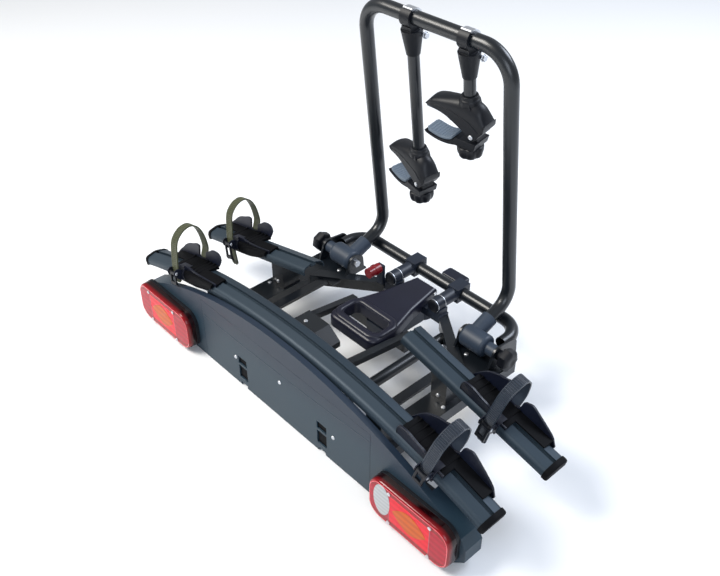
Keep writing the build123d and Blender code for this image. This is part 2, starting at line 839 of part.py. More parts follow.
with BuildPart() as upper_jaw:
    with BuildSketch(facing(jaw_half)):
        with BuildLine():
            Spline((jaw_tip, -31), (-86, -17), (-50, -7), (0, 0), (34, -13), (jaw_back, -40))
            Polyline((jaw_back, -40), (46, -54), (26, -78), (10, -74), (-12, -58), (-22, -52))
            Spline((-22, -52), (-43, -41), (-66, -35), (jaw_tip, -33))
            Line((jaw_tip, -33), (jaw_tip, -31))
        make_face()
    extrude(amount=2 * jaw_half)
    with BuildSketch(Plane.YZ.offset(jaw_tip - 5)):
        with BuildLine():
            Polyline((-jaw_half, -30), (-jaw_half, -90), (jaw_half, -90), (jaw_half, -30))
            ThreePointArc((jaw_half, -30), (0, 1), (-jaw_half, -30))
        make_face()
    extrude(amount=jaw_back - jaw_tip + 10, mode=Mode.INTERSECT)
    with BuildSketch(Plane.XY.offset(-24)):
        Circle(arm_tube_r + 5)
    extrude(amount=30)
    add(block(-14, 60, -lug_half - 0.5, lug_half + 0.5, -95, -56), mode=Mode.SUBTRACT)
    with BuildSketch(Plane.XY.offset(-14.5)):
        Circle(arm_tube_r + fit_gap)
    extrude(amount=30, mode=Mode.SUBTRACT)
    with BuildSketch(Plane.XY.offset(-90)):
        Circle(rod_r + running_gap)
    extrude(amount=90, mode=Mode.SUBTRACT)
    with BuildSketch(facing(40)):
        with Locations((jaw_pivot_u, jaw_pivot_w)):
            Circle(jaw_pin_r + running_gap)
    extrude(amount=80, mode=Mode.SUBTRACT)

with BuildPart() as upper_pad:
    with BuildSketch(facing(pad_half)):
        with BuildLine():
            Spline((-24, -51.5), (-43, -41.4), (-66, -35.4), (jaw_tip, -33.4))
            Line((jaw_tip, -33.4), (jaw_tip, -37))
            Spline((jaw_tip, -37), (-66, -39.5), (-44, -46), (-27, -56))
            Line((-27, -56), (-24, -51.5))
        make_face()
    extrude(amount=2 * pad_half)

with BuildPart() as jaw_pin:
    with BuildSketch(facing(jaw_half + 2)):
        with Locations((jaw_pivot_u, jaw_pivot_w)):
            Circle(jaw_pin_r)
    extrude(amount=2 * jaw_half + 4)

with BuildPart() as lower_jaw:
    with BuildSketch(facing(jaw_half)):
        with BuildLine():
            Polyline((jaw_tip - 2, -94), (jaw_tip, -98))
            Spline((jaw_tip, -98), (-60, -107), (-22, -103))
            Polyline((-22, -103), (24, -103), (30, -86), (-12, -86), (-20, -84))
            Spline((-20, -84), (-34, -97), (-60, -102), (jaw_tip - 2, -94))
        make_face()
    extrude(amount=2 * jaw_half)
    with BuildSketch(facing(lug_half)):
        with Locations((jaw_pivot_u, jaw_pivot_w)):
            Circle(8.5)
        with BuildLine():
            Polyline((jaw_pivot_u - 8.5, jaw_pivot_w), (jaw_pivot_u + 8.5, jaw_pivot_w),
                     (jaw_pivot_u + 10, -90), (jaw_pivot_u - 10, -90), close=True)
        make_face()
    extrude(amount=2 * lug_half)
    with BuildSketch(facing(40)):
        with Locations((jaw_pivot_u, jaw_pivot_w)):
            Circle(jaw_pin_r + running_gap)
    extrude(amount=80, mode=Mode.SUBTRACT)
    with BuildSketch(Plane.XY.offset(-112)):
        SlotOverall(26, 2 * rod_r + 2)
    extrude(amount=60, mode=Mode.SUBTRACT)

with BuildPart() as lower_pad:
    with BuildSketch(facing(pad_half)):
        with BuildLine():
            Spline((jaw_tip, -93.4), (-60, -101.2), (-35, -96.4), (-22, -84))
            Line((-22, -84), (-25, -80))
            Spline((-25, -80), (-38, -92), (-60, -97), (jaw_tip, -90))
            Line((jaw_tip, -90), (jaw_tip, -93.4))
        make_face()
    extrude(amount=2 * pad_half)

with BuildPart() as jaw_knob:
    with BuildSketch(Plane.XY.offset(knob_low)):
        lobed_outline(knob_r, 7)
    extrude(amount=knob_top - knob_low - 5)
    with BuildSketch(Plane.XY.offset(knob_top - 5)):
        Circle(16)
    extrude(amount=5)
    with BuildSketch(Plane.XY.offset(knob_low + 5)):
        Circle(rod_r)
    extrude(amount=-knob_low - 5 - 18)

for arm_name, arm_x, arm_length, swivel in (("long", -59, 312, -12), ("short", 92, 127, 5)):
    head_place = arm_place(arm_x)
    jaw_place = arm_place(arm_x, swivel, arm_length)
    save(head_place * arm_head.part, f"{arm_name}_arm_head")
    save(head_place * arm_hook.part, f"{arm_name}_arm_hook")
    with BuildPart() as arm_tube:
        with BuildSketch(Plane.XY.offset(-arm_length - 14)):
            Circle(arm_tube_r)
            Circle(arm_tube_r - arm_tube_wall, mode=Mode.SUBTRACT)
        extrude(amount=arm_length + 14 + arm_insert)
    save(head_place * arm_tube.part, f"{arm_name}_arm_tube")
    for piece, label in ((upper_jaw, "upper_jaw"), (upper_pad, "upper_pad"), (jaw_pin, "jaw_pin"),
                         (lower_jaw, "lower_jaw"), (lower_pad, "lower_pad"), (jaw_knob, "jaw_knob")):
        save(jaw_place * piece.part, f"{arm_name}_{label}")


# Wheel holders: a flared cradle that slides along its rail, with a ratchet strap and buckle.
# Each wall's top is drawn square to the rail, from the strap outwards, at its height over the rail.
far_walls = {
    "right": (((-107, -22), (-92, 4), (-78, 20), (-58, 31), (-14, 37)),
              ((15, 24), (30, 30), (60, 22), (82, 10), (113, -12), (122, -28))),
    "left": (((-112, -8), (-80, 13), (-50, 22), (-14, 30)),
             ((15, 24), (30, 31), (47, 34), (66, 30), (73, 17), (57, -22))),
}
near_walls = {
    "right": ((-93, -8), (-91, 22), (-80, 33), (-62, 34), (-16, 24), (-16, 5), (30, 4), (30, -8)),
    "left": ((-36, -8), (-32, 16), (-16, 20), (-16, 6), (16, 6), (16, 18), (44, 16), (60, 5),
             (140, 4), (140, -8)),
}


def side_profile(row, strap_x, outline, depth):
    # A wall's outline seen from the side of the rail, cut through towards +Y or -Y by depth.
    height, slope = rail_point(row, strap_x)
    side = Plane(origin=(strap_x, rail_y[row], height), x_dir=(math.cos(slope), 0, -math.sin(slope)),
                 z_dir=(0, -1, 0))
    with BuildPart() as piece:
        with BuildSketch(side):
            with BuildLine():
                Polyline(*outline, close=True)
            make_face()
        extrude(amount=depth)
    return piece.part


def holder_parts(side_name, row, tail, lever_drop, strap_x):
    g = holder_gap
    outer = rail_half + g + holder_wall
    lip = rail_depth + g + lip_drop
    section = rail_section(row, strap_x)
    half_strap = strap_width / 2
    cheek_low = -half_strap - buckle_gap - cheek_thick
    cheek_high = half_strap + buckle_gap
    near_under = g - near_drop * (near_foot - groove_half) / (rail_half - groove_half)
    rising, falling = far_walls[side_name]
    near = near_walls[side_name]
    far_outline = [(rising[0][0], -2 * rail_depth), *rising, (rising[-1][0], strap_notch),
                   (falling[0][0], strap_notch), *falling, (falling[-1][0], -2 * rail_depth)]
    near_outline = [(near[0][0], -2 * rail_depth), *near, (near[-1][0], -2 * rail_depth)]
    cradle = [(outer, -lip), (rail_half - lip_reach, -lip), (rail_half - lip_reach, -rail_depth - g),
              (rail_half + g, -rail_depth - g), (rail_half + g, g - far_drop), (groove_half, g),
              (-groove_half, g), (-near_foot, near_under), (-near_foot - near_flare, holder_height),
              (-near_foot - near_flare + holder_wall, holder_height),
              (-near_foot + holder_wall, holder_floor), (outer - holder_wall, holder_floor),
              (outer + holder_flare - holder_wall, holder_height), (outer + holder_flare, holder_height),
              (outer, -2)]
    clamp_block = [(-groove_half, g), (-rail_half - g, g - near_drop), (-rail_half - g, -rail_depth - g),
                   (lip_reach - rail_half, -rail_depth - g), (lip_reach - rail_half, -lip),
                   (-outer, -lip), (-outer, 3), (-near_foot, holder_floor + 3), (-groove_half, holder_floor)]

    with BuildPart() as tray:
        add(along_rail(row, strap_x - holder_half, strap_x + holder_half, cradle))
        add(side_profile(row, strap_x, far_outline, -2 * rail_half)
            + side_profile(row, strap_x, near_outline, 2 * rail_half), mode=Mode.INTERSECT)
        add(along_rail(row, strap_x - clamp_block_half, strap_x + clamp_block_half, clamp_block))
        for t in (cheek_low, cheek_high):
            with BuildSketch(section.offset(t)):
                with BuildLine():
                    Polyline((1 - outer, cheek_low_z), (1 - outer, 3), (cheek_back + 10, cheek_top),
                             (cheek_back, cheek_top - 4), (cheek_back, -4), (cheek_back + 10, cheek_low_z),
                             close=True)
                make_face()
                with Locations((buckle_pivot_y, buckle_pivot_h)):
                    Circle(buckle_pin_r + running_gap, mode=Mode.SUBTRACT)
            extrude(amount=cheek_thick)

    with BuildPart() as strap:
        with BuildSketch(section.offset(-half_strap)):
            with BuildLine() as strap_path:
                strap_foot = outer + strap_thick / 2 + fit_gap
                Polyline((strap_foot, strap_foot_low), (strap_foot, strap_foot_high), strap_hem, strap_lean,
                         strap_haunch)
                Spline(strap_haunch, strap_crown, strap_spring,
                       tangents=((strap_haunch[0] - strap_lean[0], strap_haunch[1] - strap_lean[1]),
                                 (strap_gate[0] - strap_spring[0], strap_gate[1] - strap_spring[1])))
                Polyline(strap_spring, strap_gate, (strap_tail_q, -tail))
            trace(strap_path.edges(), line_width=strap_thick)
        extrude(amount=strap_width)

    with BuildPart() as buckle:
        with BuildSketch(section.offset(cheek_low + cheek_thick + buckle_play)):
            with BuildLine():
                Polyline((buckle_pivot_y - 3.5, buckle_top), (buckle_pivot_y + 4.5, buckle_top),
                         (buckle_pivot_y + 4, 2 - lever_drop), (buckle_pivot_y - 3, -lever_drop), close=True)
            make_face()
        extrude(amount=cheek_high - cheek_low - cheek_thick - 2 * buckle_play)
        with BuildSketch(section.offset(cheek_low + buckle_play)):
            with Locations((buckle_pivot_y, buckle_pivot_h)):
                Circle(buckle_pin_r)
        extrude(amount=cheek_high - cheek_low + cheek_thick - 2 * buckle_play)
    return tray.part, strap.part, buckle.part


drops = {"rear": (rear_tail, rear_lever_drop), "front": (front_tail, front_lever_drop)}
for place, strap_x in strap_places.items():
    side_name, row = place.split("_")
    for piece, label in zip(holder_parts(side_name, row, *drops[row], strap_x),
                            ("wheel_tray", "wheel_strap", "buckle_lever")):
        save(piece, f"{place}_{label}")


# Light board: a shallow shell with deeper ends, a set-in plate panel and a lamp at each end
def board_outline(inset=0.0):
    top = board_crown - inset
    shoulder_z = board_crown - board_r + math.sqrt(board_r ** 2 - board_shoulder ** 2)
    with BuildLine() as outline:
        Polyline((-board_shoulder + inset, shoulder_z - inset), (-board_end_x + inset, shoulder_z - 22),
                 (-board_end_x + inset, board_bottom + 30), (-board_end_x + 30, board_bottom + inset),
                 (board_end_x - 30, board_bottom + inset), (board_end_x - inset, board_bottom + 30),
                 (board_end_x - inset, shoulder_z - 22), (board_shoulder - inset, shoulder_z - inset))
        ThreePointArc((board_shoulder - inset, shoulder_z - inset), (0, top),
                      (-board_shoulder + inset, shoulder_z - inset))
    return outline.edges()


backing_front = board_face + panel_thick + panel_seat
with BuildPart() as light_board:
    with BuildSketch(facing(board_face)):
        make_face(board_outline())
    extrude(amount=-board_end_depth)
    add(block(-board_deep_from, board_deep_from, board_face + board_depth, 0, board_bottom, board_crown + 1),
        mode=Mode.SUBTRACT)
    with BuildSketch(facing(board_face + board_wall)):
        make_face(board_outline(board_wall))
    extrude(amount=-board_end_depth, mode=Mode.SUBTRACT)
    add(block(-panel_half - panel_gap, panel_half + panel_gap, board_face, backing_front,
          board_bottom, panel_top + panel_gap), mode=Mode.SUBTRACT)
    add(block(-panel_half - panel_rim, panel_half + panel_rim, backing_front,
              backing_front + board_wall, board_bottom, panel_top + panel_rim))
    add(block(-panel_half - panel_rim, -panel_half - panel_gap, board_face + board_wall, backing_front,
          board_bottom, panel_top + panel_rim))
    add(block(panel_half + panel_gap, panel_half + panel_rim, board_face + board_wall, backing_front,
          board_bottom, panel_top + panel_rim))
    add(block(-panel_half - panel_rim, panel_half + panel_rim, board_face + board_wall, backing_front,
          panel_top + panel_gap, panel_top + panel_rim))
    for x in (-(lamp_inner + lamp_outer) / 2, (lamp_inner + lamp_outer) / 2):
        with BuildSketch(facing(board_face)):
            with Locations((x, (lamp_low + lamp_high) / 2)):
                RectangleRounded(lamp_outer - lamp_inner - 2 * lamp_margin,
                                 lamp_high - lamp_low - 2 * lamp_margin, lamp_corner - 8)
        extrude(amount=-board_wall, mode=Mode.SUBTRACT)
save(light_board.part, "light_board")

with BuildPart() as plate_panel:
    add(block(-panel_half, panel_half, board_face, board_face + panel_thick, board_bottom, panel_top))
    panel_cuts = [(slot_half, low, high) for low, high in slot_rows] + [(notch_half, board_bottom, notch_top)]
    for x in (-slot_x, slot_x):
        for half, low, high in panel_cuts:
            add(block(x - half, x + half, board_face - 1, backing_front, low, high), mode=Mode.SUBTRACT)
    add(rod_y(0, panel_screw_z, backing_front, board_face - 1, panel_screw_r), mode=Mode.SUBTRACT)
save(plate_panel.part, "plate_panel")

lamp_x = (lamp_inner + lamp_outer) / 2
lamp_z = (lamp_low + lamp_high) / 2
lamp_width = lamp_outer - lamp_inner
lamp_height = lamp_high - lamp_low
lamp_back = board_face - housing_flange
with BuildPart() as lamp_housing:
    with BuildSketch(facing(board_face - 0.2)):
        with Locations((lamp_x, lamp_z)):
            RectangleRounded(lamp_width, lamp_height, lamp_corner)
    extrude(amount=housing_flange - 0.2)
    with BuildSketch(facing(board_face - 0.2)):
        with Locations((lamp_x, lamp_z)):
            RectangleRounded(lamp_width - 2 * lamp_margin - 1, lamp_height - 2 * lamp_margin - 1,
                             lamp_corner - 8.5)
    extrude(amount=-board_end_depth + 2)
    with BuildSketch(facing(lamp_back)):
        with Locations((lamp_x, lamp_z)):
            RectangleRounded(lamp_width - 2 * lamp_margin - 7, lamp_height - 2 * lamp_margin - 7,
                             lamp_corner - 11)
    extrude(amount=-board_end_depth - housing_flange + 6, mode=Mode.SUBTRACT)
save_pair(lamp_housing.part, "lamp_housing")

with BuildPart() as lamp_lens:
    with BuildSketch(facing(lamp_back)):
        with Locations((lamp_x, lamp_z)):
            RectangleRounded(lamp_width, lamp_height, lamp_corner)
    extrude(amount=lens_depth)
    fillet(lamp_lens.faces().sort_by(Axis.Y)[0].edges(), radius=9)
    with BuildSketch(facing(lamp_back)):
        with Locations((lamp_x, lamp_z)):
            RectangleRounded(lamp_width - 2 * lens_wall, lamp_height - 2 * lens_wall,
                             lamp_corner - lens_wall)
    extrude(amount=lens_depth - 9, mode=Mode.SUBTRACT)
    for x in screw_xs:
        for z in screw_zs:
            add(rod_y(x, z, lamp_back, lamp_back - lens_depth, 2.0), mode=Mode.SUBTRACT)
save_pair(lamp_lens.part, "lamp_lens")

lens_face = lamp_back - lens_depth
with BuildPart() as lamp_screws:
    for side in (-1, 1):
        for x in screw_xs:
            for z in screw_zs:
                add(rod_y(side * x, z, lens_face, lens_face - 2, 4))
                add(rod_y(side * x, z, lamp_back - 0.5, lens_face, 1.8))
save(lamp_screws.part, "lamp_screws")
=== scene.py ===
"""Looks of the tow-ball bike carrier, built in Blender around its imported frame.

Lengths are in millimetres in this file, apart from the lights and the camera's far clip, which are
in metres. The axes are the frame's own: +X to the carrier's right as seen from behind, +Y towards
the car, +Z up. Meshes are turned to metres as they are made.
"""

import json
import logging
import math
from dataclasses import dataclass, field
from enum import Enum
from typing import Any, Callable, Sequence

import bmesh
import bpy
from mathutils import Matrix, Vector

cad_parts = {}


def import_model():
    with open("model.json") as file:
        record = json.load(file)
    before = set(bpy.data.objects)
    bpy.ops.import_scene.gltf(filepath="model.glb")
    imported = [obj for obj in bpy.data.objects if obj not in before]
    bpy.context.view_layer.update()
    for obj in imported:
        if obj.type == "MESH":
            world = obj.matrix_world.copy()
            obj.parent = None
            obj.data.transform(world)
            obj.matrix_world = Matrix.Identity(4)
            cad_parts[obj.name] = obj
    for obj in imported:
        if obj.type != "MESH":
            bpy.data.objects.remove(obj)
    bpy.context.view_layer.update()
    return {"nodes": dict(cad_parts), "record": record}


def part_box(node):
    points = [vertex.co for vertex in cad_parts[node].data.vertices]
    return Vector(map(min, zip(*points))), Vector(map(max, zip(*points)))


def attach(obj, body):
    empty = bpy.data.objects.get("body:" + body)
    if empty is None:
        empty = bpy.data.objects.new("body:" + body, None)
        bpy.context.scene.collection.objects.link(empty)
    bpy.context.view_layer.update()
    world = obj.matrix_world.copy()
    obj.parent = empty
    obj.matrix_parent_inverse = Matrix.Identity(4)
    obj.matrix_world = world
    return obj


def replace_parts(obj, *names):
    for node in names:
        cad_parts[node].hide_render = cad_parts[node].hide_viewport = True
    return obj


LOG = logging.getLogger("carrier")
# Metres in a millimetre
METRES = 0.001
Point = tuple[float, float, float]
Pair = tuple[float, float]
Outline = Sequence[Pair]
Tree = bpy.types.NodeTree
# A node and the name of one of its outputs
Link = tuple[bpy.types.Node, str]

REARWARDS: Point = (0, -1, 0)
UPWARDS: Point = (0, 0, 1)


# Colours and nodes


def linear(code: str) -> tuple[float, float, float, float]:
    """Turns an sRGB hex colour to linear.

    Args:
        code: The colour, such as "#2b3038".

    Returns:
        Red, green, blue and an alpha of 1.
    """
    parts = (int(code[i:i + 2], 16) / 255 for i in (1, 3, 5))
    red, green, blue = (c / 12.92 if c <= 0.04045 else ((c + 0.055) / 1.055) ** 2.4 for c in parts)
    return red, green, blue, 1.0


def add_node(tree: Tree, kind: str, settings: dict[str, Any] | None = None,
             links: dict[str, Link] | None = None) -> bpy.types.Node:
    """Adds one shader node with its settings and its incoming links.

    Args:
        tree: The node tree to add it to.
        kind: The node's type name without its "ShaderNode" start.
        settings: Socket values and node attributes, by name.
        links: The node and output name that feed each input.

    Returns:
        The new node.
    """
    node = tree.nodes.new("ShaderNode" + kind)
    for name, value in (settings or {}).items():
        if name in node.inputs:
            node.inputs[name].default_value = value
        else:
            setattr(node, name, value)
    for name, (source, output) in (links or {}).items():
        tree.links.new(source.outputs[output], node.inputs[name])
    return node


# Finishes

# A Mix node's two colour inputs and its colour output, which share their names with other sockets
MIX_FIRST, MIX_SECOND, MIX_RESULT = 6, 7, 2


@dataclass(frozen=True)
class Finish:
    """A real material and how its surface was made.

    The colour drifts between two shades over patches, and a fine grain roughens the surface.
    Sizes are in millimetres. The grain is drawn coarser than the real one, which is too fine to
    show at this distance.
    """

    name: str
    colour: str
    shade: str
    roughness: Pair
    grain: float
    relief: float
    patch: float = 60.0
    metallic: float = 0.0
    ior: float = 1.5
    coat: float = 0.0
    specular: float = 0.5
    edge: float = 0.8
    stretch: Point = (1.0, 1.0, 1.0)

    def shading(self, tree: Tree, place: Link) -> Link:
        """Adds the drift over patches, which runs from 0 in the colour to 1 in its shade."""
        drift = {"Scale": 1000 / self.patch, "Detail": 3.0}
        return add_node(tree, "TexNoise", drift, {"Vector": place}), "Fac"

    def material(self) -> bpy.types.Material:
        """Gives the Blender material, made once.

        Returns:
            The material.
        """
        known = bpy.data.materials.get(self.name)
        if known:
            return known
        made = bpy.data.materials.new(self.name)
        made.use_nodes = True
        tree = made.node_tree
        tree.nodes.clear()
        coords = add_node(tree, "TexCoord")
        mapping = add_node(tree, "Mapping", {"Scale": self.stretch}, {"Vector": (coords, "Object")})
        place = (mapping, "Vector")
        blend = add_node(tree, "Mix", {"data_type": "RGBA"}, {"Factor": self.shading(tree, place)})
        blend.inputs[MIX_FIRST].default_value = linear(self.colour)
        blend.inputs[MIX_SECOND].default_value = linear(self.shade)
        grain = add_node(tree, "TexNoise", {"Scale": 1000 / self.grain, "Detail": 4.0, "Roughness": 0.6},
                         {"Vector": place})
        low, high = self.roughness
        rough = add_node(tree, "MapRange", {"To Min": low, "To Max": high}, {"Value": (grain, "Fac")})
        round_edges = add_node(tree, "Bevel", {"samples": 3, "Radius": self.edge * METRES})
        bump = add_node(tree, "Bump", {"Strength": 0.6, "Distance": self.relief * METRES},
                        {"Height": (grain, "Fac"), "Normal": (round_edges, "Normal")})
        shader = add_node(tree, "BsdfPrincipled",
                          {"Metallic": self.metallic, "IOR": self.ior, "Specular IOR Level": self.specular,
                           "Coat Weight": self.coat, "Coat Roughness": 0.15},
                          {"Roughness": (rough, "Result"), "Normal": (bump, "Normal")})
        tree.links.new(blend.outputs[MIX_RESULT], shader.inputs["Base Color"])
        add_node(tree, "OutputMaterial", None, {"Surface": (shader, "BSDF")})
        return made


@dataclass(frozen=True)
class FadedFinish(Finish):
    """A finish whose colour fades evenly into its shade along one axis of the object."""

    axis: str = "Z"
    start: float = 0.0
    end: float = 100.0

    def shading(self, tree: Tree, place: Link) -> Link:
        """Adds the fade from the start to the end of the axis."""
        height = (add_node(tree, "SeparateXYZ", None, {"Vector": place}), self.axis)
        return add_node(tree, "MapRange", {"From Min": self.start * METRES, "From Max": self.end * METRES},
                        {"Value": height}), "Result"


@dataclass(frozen=True)
class FlutedLens(Finish):
    """Glossy acrylic moulded with fine prisms behind its face, so that it glitters in bands."""

    roughness: Pair = (0.10, 0.18)
    grain: float = 3.0
    relief: float = 0.02
    ior: float = 1.49
    flute: float = 4.0

    def shading(self, tree: Tree, place: Link) -> Link:
        """Adds the bands of the prisms behind the clear face."""
        bands = {"Scale": 1000 / self.flute / math.tau * 0.5, "Distortion": 0.6, "bands_direction": "Z"}
        return add_node(tree, "TexWave", bands, {"Vector": place}), "Fac"


# Satin polyester powder coat on steel tube: near black, with a bluish sheen and a faint orange peel
POWDER_COAT = Finish("powder_coated_steel", "#0d1115", "#141a21", (0.28, 0.38), 2.2, 0.03, coat=0.2)
# Painted pressure casting: duller than the tubes, with a slightly pebbled skin
CAST_PAINT = Finish("painted_cast_aluminium", "#141a26", "#1c2636", (0.38, 0.50), 1.6, 0.06)
# The same paint on the upright's feet, made a lighter, soft blue-grey: a painted sheen
CAST_PAINT_WITH_PAINTED_SHEEN = Finish("cast_paint_with_painted_sheen", "#26313f", "#303d4e", (0.44, 0.56), 1.6, 0.06)
# Glass-filled nylon, spark-eroded mould: fine even grain, soft broad highlights
NYLON = Finish("grained_glass_filled_nylon", "#07090f", "#0c111a", (0.38, 0.50), 0.9, 0.05, specular=0.35)
# Soft-touch nylon of the coupling lever: a purple tinge where light catches its rims
LEVER_NYLON = Finish("soft_touch_lever_nylon", "#10111f", "#181a2b", (0.30, 0.40), 1.2, 0.04)
# Polypropylene moulding of the wheel holders: smoother than nylon, so it shines more
POLYPROPYLENE = Finish("moulded_polypropylene", "#080c18", "#0e1528", (0.34, 0.44), 1.4, 0.03)
# Near-black dull finish: painted shade in tyre beds, under the holders and in panel slots; the end caps'
# own black
BLACK_AND_PAINTED_SHADE = Finish("black_polypropylene_and_painted_shade", "#020306", "#040509", (0.55, 0.68), 1.8, 0.08,
                  specular=0.12)
# Extruded aluminium, dark anodised and sealed: drawn lines along the rail, a broad satin glow
ANODISED = Finish("dark_anodised_extruded_aluminium", "#26333e", "#303f4b", (0.44, 0.56), 0.9, 0.012,
                  metallic=0.35, stretch=(0.04, 1.0, 1.0))
# Injection-moulded board of slate polypropylene, leathery grain; painted shade darkens it towards the top
# edge
BOARD = FadedFinish("grained_slate_polypropylene_painted_shade", "#1d3341", "#162638", (0.42, 0.54), 1.2, 0.06,
                    edge=1.4, axis="Z", start=10.0, end=75.0)
# Zinc-plated steel: bright, slightly cloudy
ZINC = Finish("zinc_plated_steel", "#e2e4e8", "#cfd3d9", (0.36, 0.48), 0.8, 0.01, metallic=1.0, edge=0.4)
# Moulded nylon ratchet straps of the left pair: waxy olive
STRAP_NYLON = Finish("moulded_olive_strap_nylon", "#41452f", "#4c503a", (0.36, 0.48), 0.8, 0.03)
# The same straps on the right pair, painted darker and bluer as painted shade: dark slate, dry even sheen
SHADED_STRAP_NYLON = Finish("strap_nylon_painted_shade", "#232a35", "#2e3743", (0.34, 0.46), 0.8, 0.03)
# Thermoplastic rubber pads: soft grey blue, matt
PAD_RUBBER = Finish("moulded_thermoplastic_rubber", "#66727f", "#566370", (0.62, 0.78), 0.7, 0.05)
# Moulded polyamide of the release knob: glossy deep red
RED_NYLON = Finish("moulded_red_polyamide", "#8a0f1b", "#5c0c14", (0.24, 0.34), 1.1, 0.02, coat=0.3)
# Moulded red acrylic under the fuller lenses: glossy, even red
RED_ACRYLIC = Finish("moulded_red_acrylic", "#c5202c", "#b61724", (0.10, 0.18), 3.0, 0.02, coat=0.6)
# Fluted red acrylic over a reflector: bright, saturated red in faint bands
RED_LENS = FlutedLens("fluted_red_acrylic", "#e0142c", "#d01026", specular=0.3)
# The same acrylic without a reflector behind it: a deeper rose
ROSE_LENS = FlutedLens("fluted_rose_acrylic", "#b0182e", "#9c1428", (0.12, 0.2), specular=0.3)
# Fluted amber acrylic of the turn signal: warm orange
AMBER_LENS = FlutedLens("fluted_amber_acrylic", "#c85a06", "#b44c04", specular=0.3)
# Fluted clear acrylic of the reverse light: pale grey with close bands
CLEAR_LENS = FlutedLens("fluted_clear_acrylic", "#b4b9bb", "#a2a7a9", coat=0.3, flute=2.6)
# Welded joint between two lenses: a pale, cloudy line
SEAM_LENS = FlutedLens("clear_acrylic_seam", "#a8606c", "#9c5562", (0.12, 0.2), coat=0.3)
# Pale pink bead round the lens's face: a painted highlight, a thin bright line along its edge
HIGHLIGHT_RIM_LENS = FlutedLens("red_acrylic_rim_painted_highlight", "#e8505c", "#e04652", (0.06, 0.12), relief=0.01, coat=0.8)
# Side of the lens: deep red with a painted glow at the front that fades into painted shade, black, behind
SHELL_LENS = FadedFinish("red_acrylic_shell_painted_glow_and_shade", "#8c0a14", "#180204", (0.10, 0.18), 3.0, 0.02,
                         specular=0.4, ior=1.49, axis="Y", start=-460.0, end=-447.0)

NODE_FINISHES = {
    "coupling_lever": LEVER_NYLON,
    "plug_holder": POLYPROPYLENE,
    # The feet take the lighter copy of the cast paint, a painted sheen
    "left_upright_foot": CAST_PAINT_WITH_PAINTED_SHEEN,
    "right_upright_foot": CAST_PAINT_WITH_PAINTED_SHEEN,
}
SLOT_FINISHES = {
    "coated_steel": POWDER_COAT,
    "cast_metal": CAST_PAINT,
    "rail_aluminium": ANODISED,
    "board_plastic": BOARD,
    "lens_red": RED_ACRYLIC,
    "plated_steel": ZINC,
    "strap_plastic": STRAP_NYLON,
    "pad_rubber": PAD_RUBBER,
    "red_plastic": RED_NYLON,
    "black_plastic": NYLON,
}


# Camera, lights and floor


@dataclass(frozen=True)
class SoftBox:
    """A square soft light, placed in metres and rated in watts."""

    name: str
    place: Point
    aim: Point
    size: float
    power: float
    colour: str

    def build(self) -> None:
        """Hangs the light and turns it to its aim."""
        data = bpy.data.lights.new(self.name, "AREA")
        data.size = self.size
        data.energy = self.power
        data.color = linear(self.colour)[:3]
        lamp = bpy.data.objects.new(self.name, data)
        lamp.location = self.place
        lamp.rotation_euler = (Vector(self.aim) - Vector(self.place)).to_track_quat("-Z", "Y").to_euler()
        bpy.context.scene.collection.objects.link(lamp)


@dataclass
class Studio:
    """Camera, lights and floor. The far clip is in metres."""

    azimuth: float = 47.2845
    elevation: float = 37.6205
    roll: float = 0.1039
    eye: Point = (1112.91, -1226.12, 1316.12)
    lens: float = 44.145
    sensor: float = 36.0
    far_clip: float = 30.0
    sky: str = "#f4f7fb"
    sky_strength: float = 0.42
    boxes: tuple[SoftBox, ...] = (
        SoftBox("key", (-1.5, -1.9, 2.7), (0, -0.1, 0.1), 1.5, 120, "#fffbf4"),
        SoftBox("fill", (2.3, -1.8, 1.5), (0, -0.1, 0.2), 1.6, 30, "#e8f1ff"),
        SoftBox("back", (0.9, 2.2, 2.4), (0, 0, 0.3), 1.5, 75, "#e6efff"),
    )
    floor_z: float = -92.0
    floor_half: float = 8000.0

    def camera(self) -> None:
        """Places the camera at the photograph's viewing angle."""
        turn, lift, roll = (math.radians(a) for a in (self.azimuth, self.elevation, self.roll))
        ahead = Vector((-math.sin(turn) * math.cos(lift), math.cos(turn) * math.cos(lift), -math.sin(lift)))
        right = ahead.cross(Vector((0, 0, 1))).normalized()
        up = right.cross(ahead)
        rolled = math.cos(roll) * right + math.sin(roll) * up
        over = -math.sin(roll) * right + math.cos(roll) * up
        data = bpy.data.cameras.new("camera")
        data.lens = self.lens
        data.sensor_width = self.sensor
        data.clip_end = self.far_clip
        seat = bpy.data.objects.new("camera", data)
        facing = Matrix((rolled, over, -ahead)).transposed().to_4x4()
        seat.matrix_world = Matrix.Translation(Vector(self.eye) * METRES) @ facing
        bpy.context.scene.collection.objects.link(seat)
        bpy.context.scene.camera = seat

    def lights(self) -> None:
        """Adds the soft boxes and the pale surroundings."""
        world = bpy.data.worlds.new("studio")
        bpy.context.scene.world = world
        world.use_nodes = True
        sky = world.node_tree.nodes["Background"]
        sky.inputs["Color"].default_value = linear(self.sky)
        sky.inputs["Strength"].default_value = self.sky_strength
        for box in self.boxes:
            box.build()
        bpy.context.scene.view_settings.view_transform = "Standard"

    def floor(self) -> None:
        """Lays the plain pale floor."""
        half, z = self.floor_half * METRES, self.floor_z * METRES
        data = bpy.data.meshes.new("floor")
        corners = [(x * half, y * half, z) for x, y in ((-1, -1), (1, -1), (1, 1), (-1, 1))]
        data.from_pydata(corners, [], [(0, 1, 2, 3)])
        floor = bpy.data.objects.new("floor", data)
        bpy.context.scene.collection.objects.link(floor)
        # Matt emulsion on board: even white, no gloss
        paint = Finish("matt_painted_floor", "#f7f8f9", "#f3f5f7", (0.85, 0.95), 4.0, 0.01, patch=900,
                       edge=0.1)
        data.materials.append(paint.material())


# Places and shapes


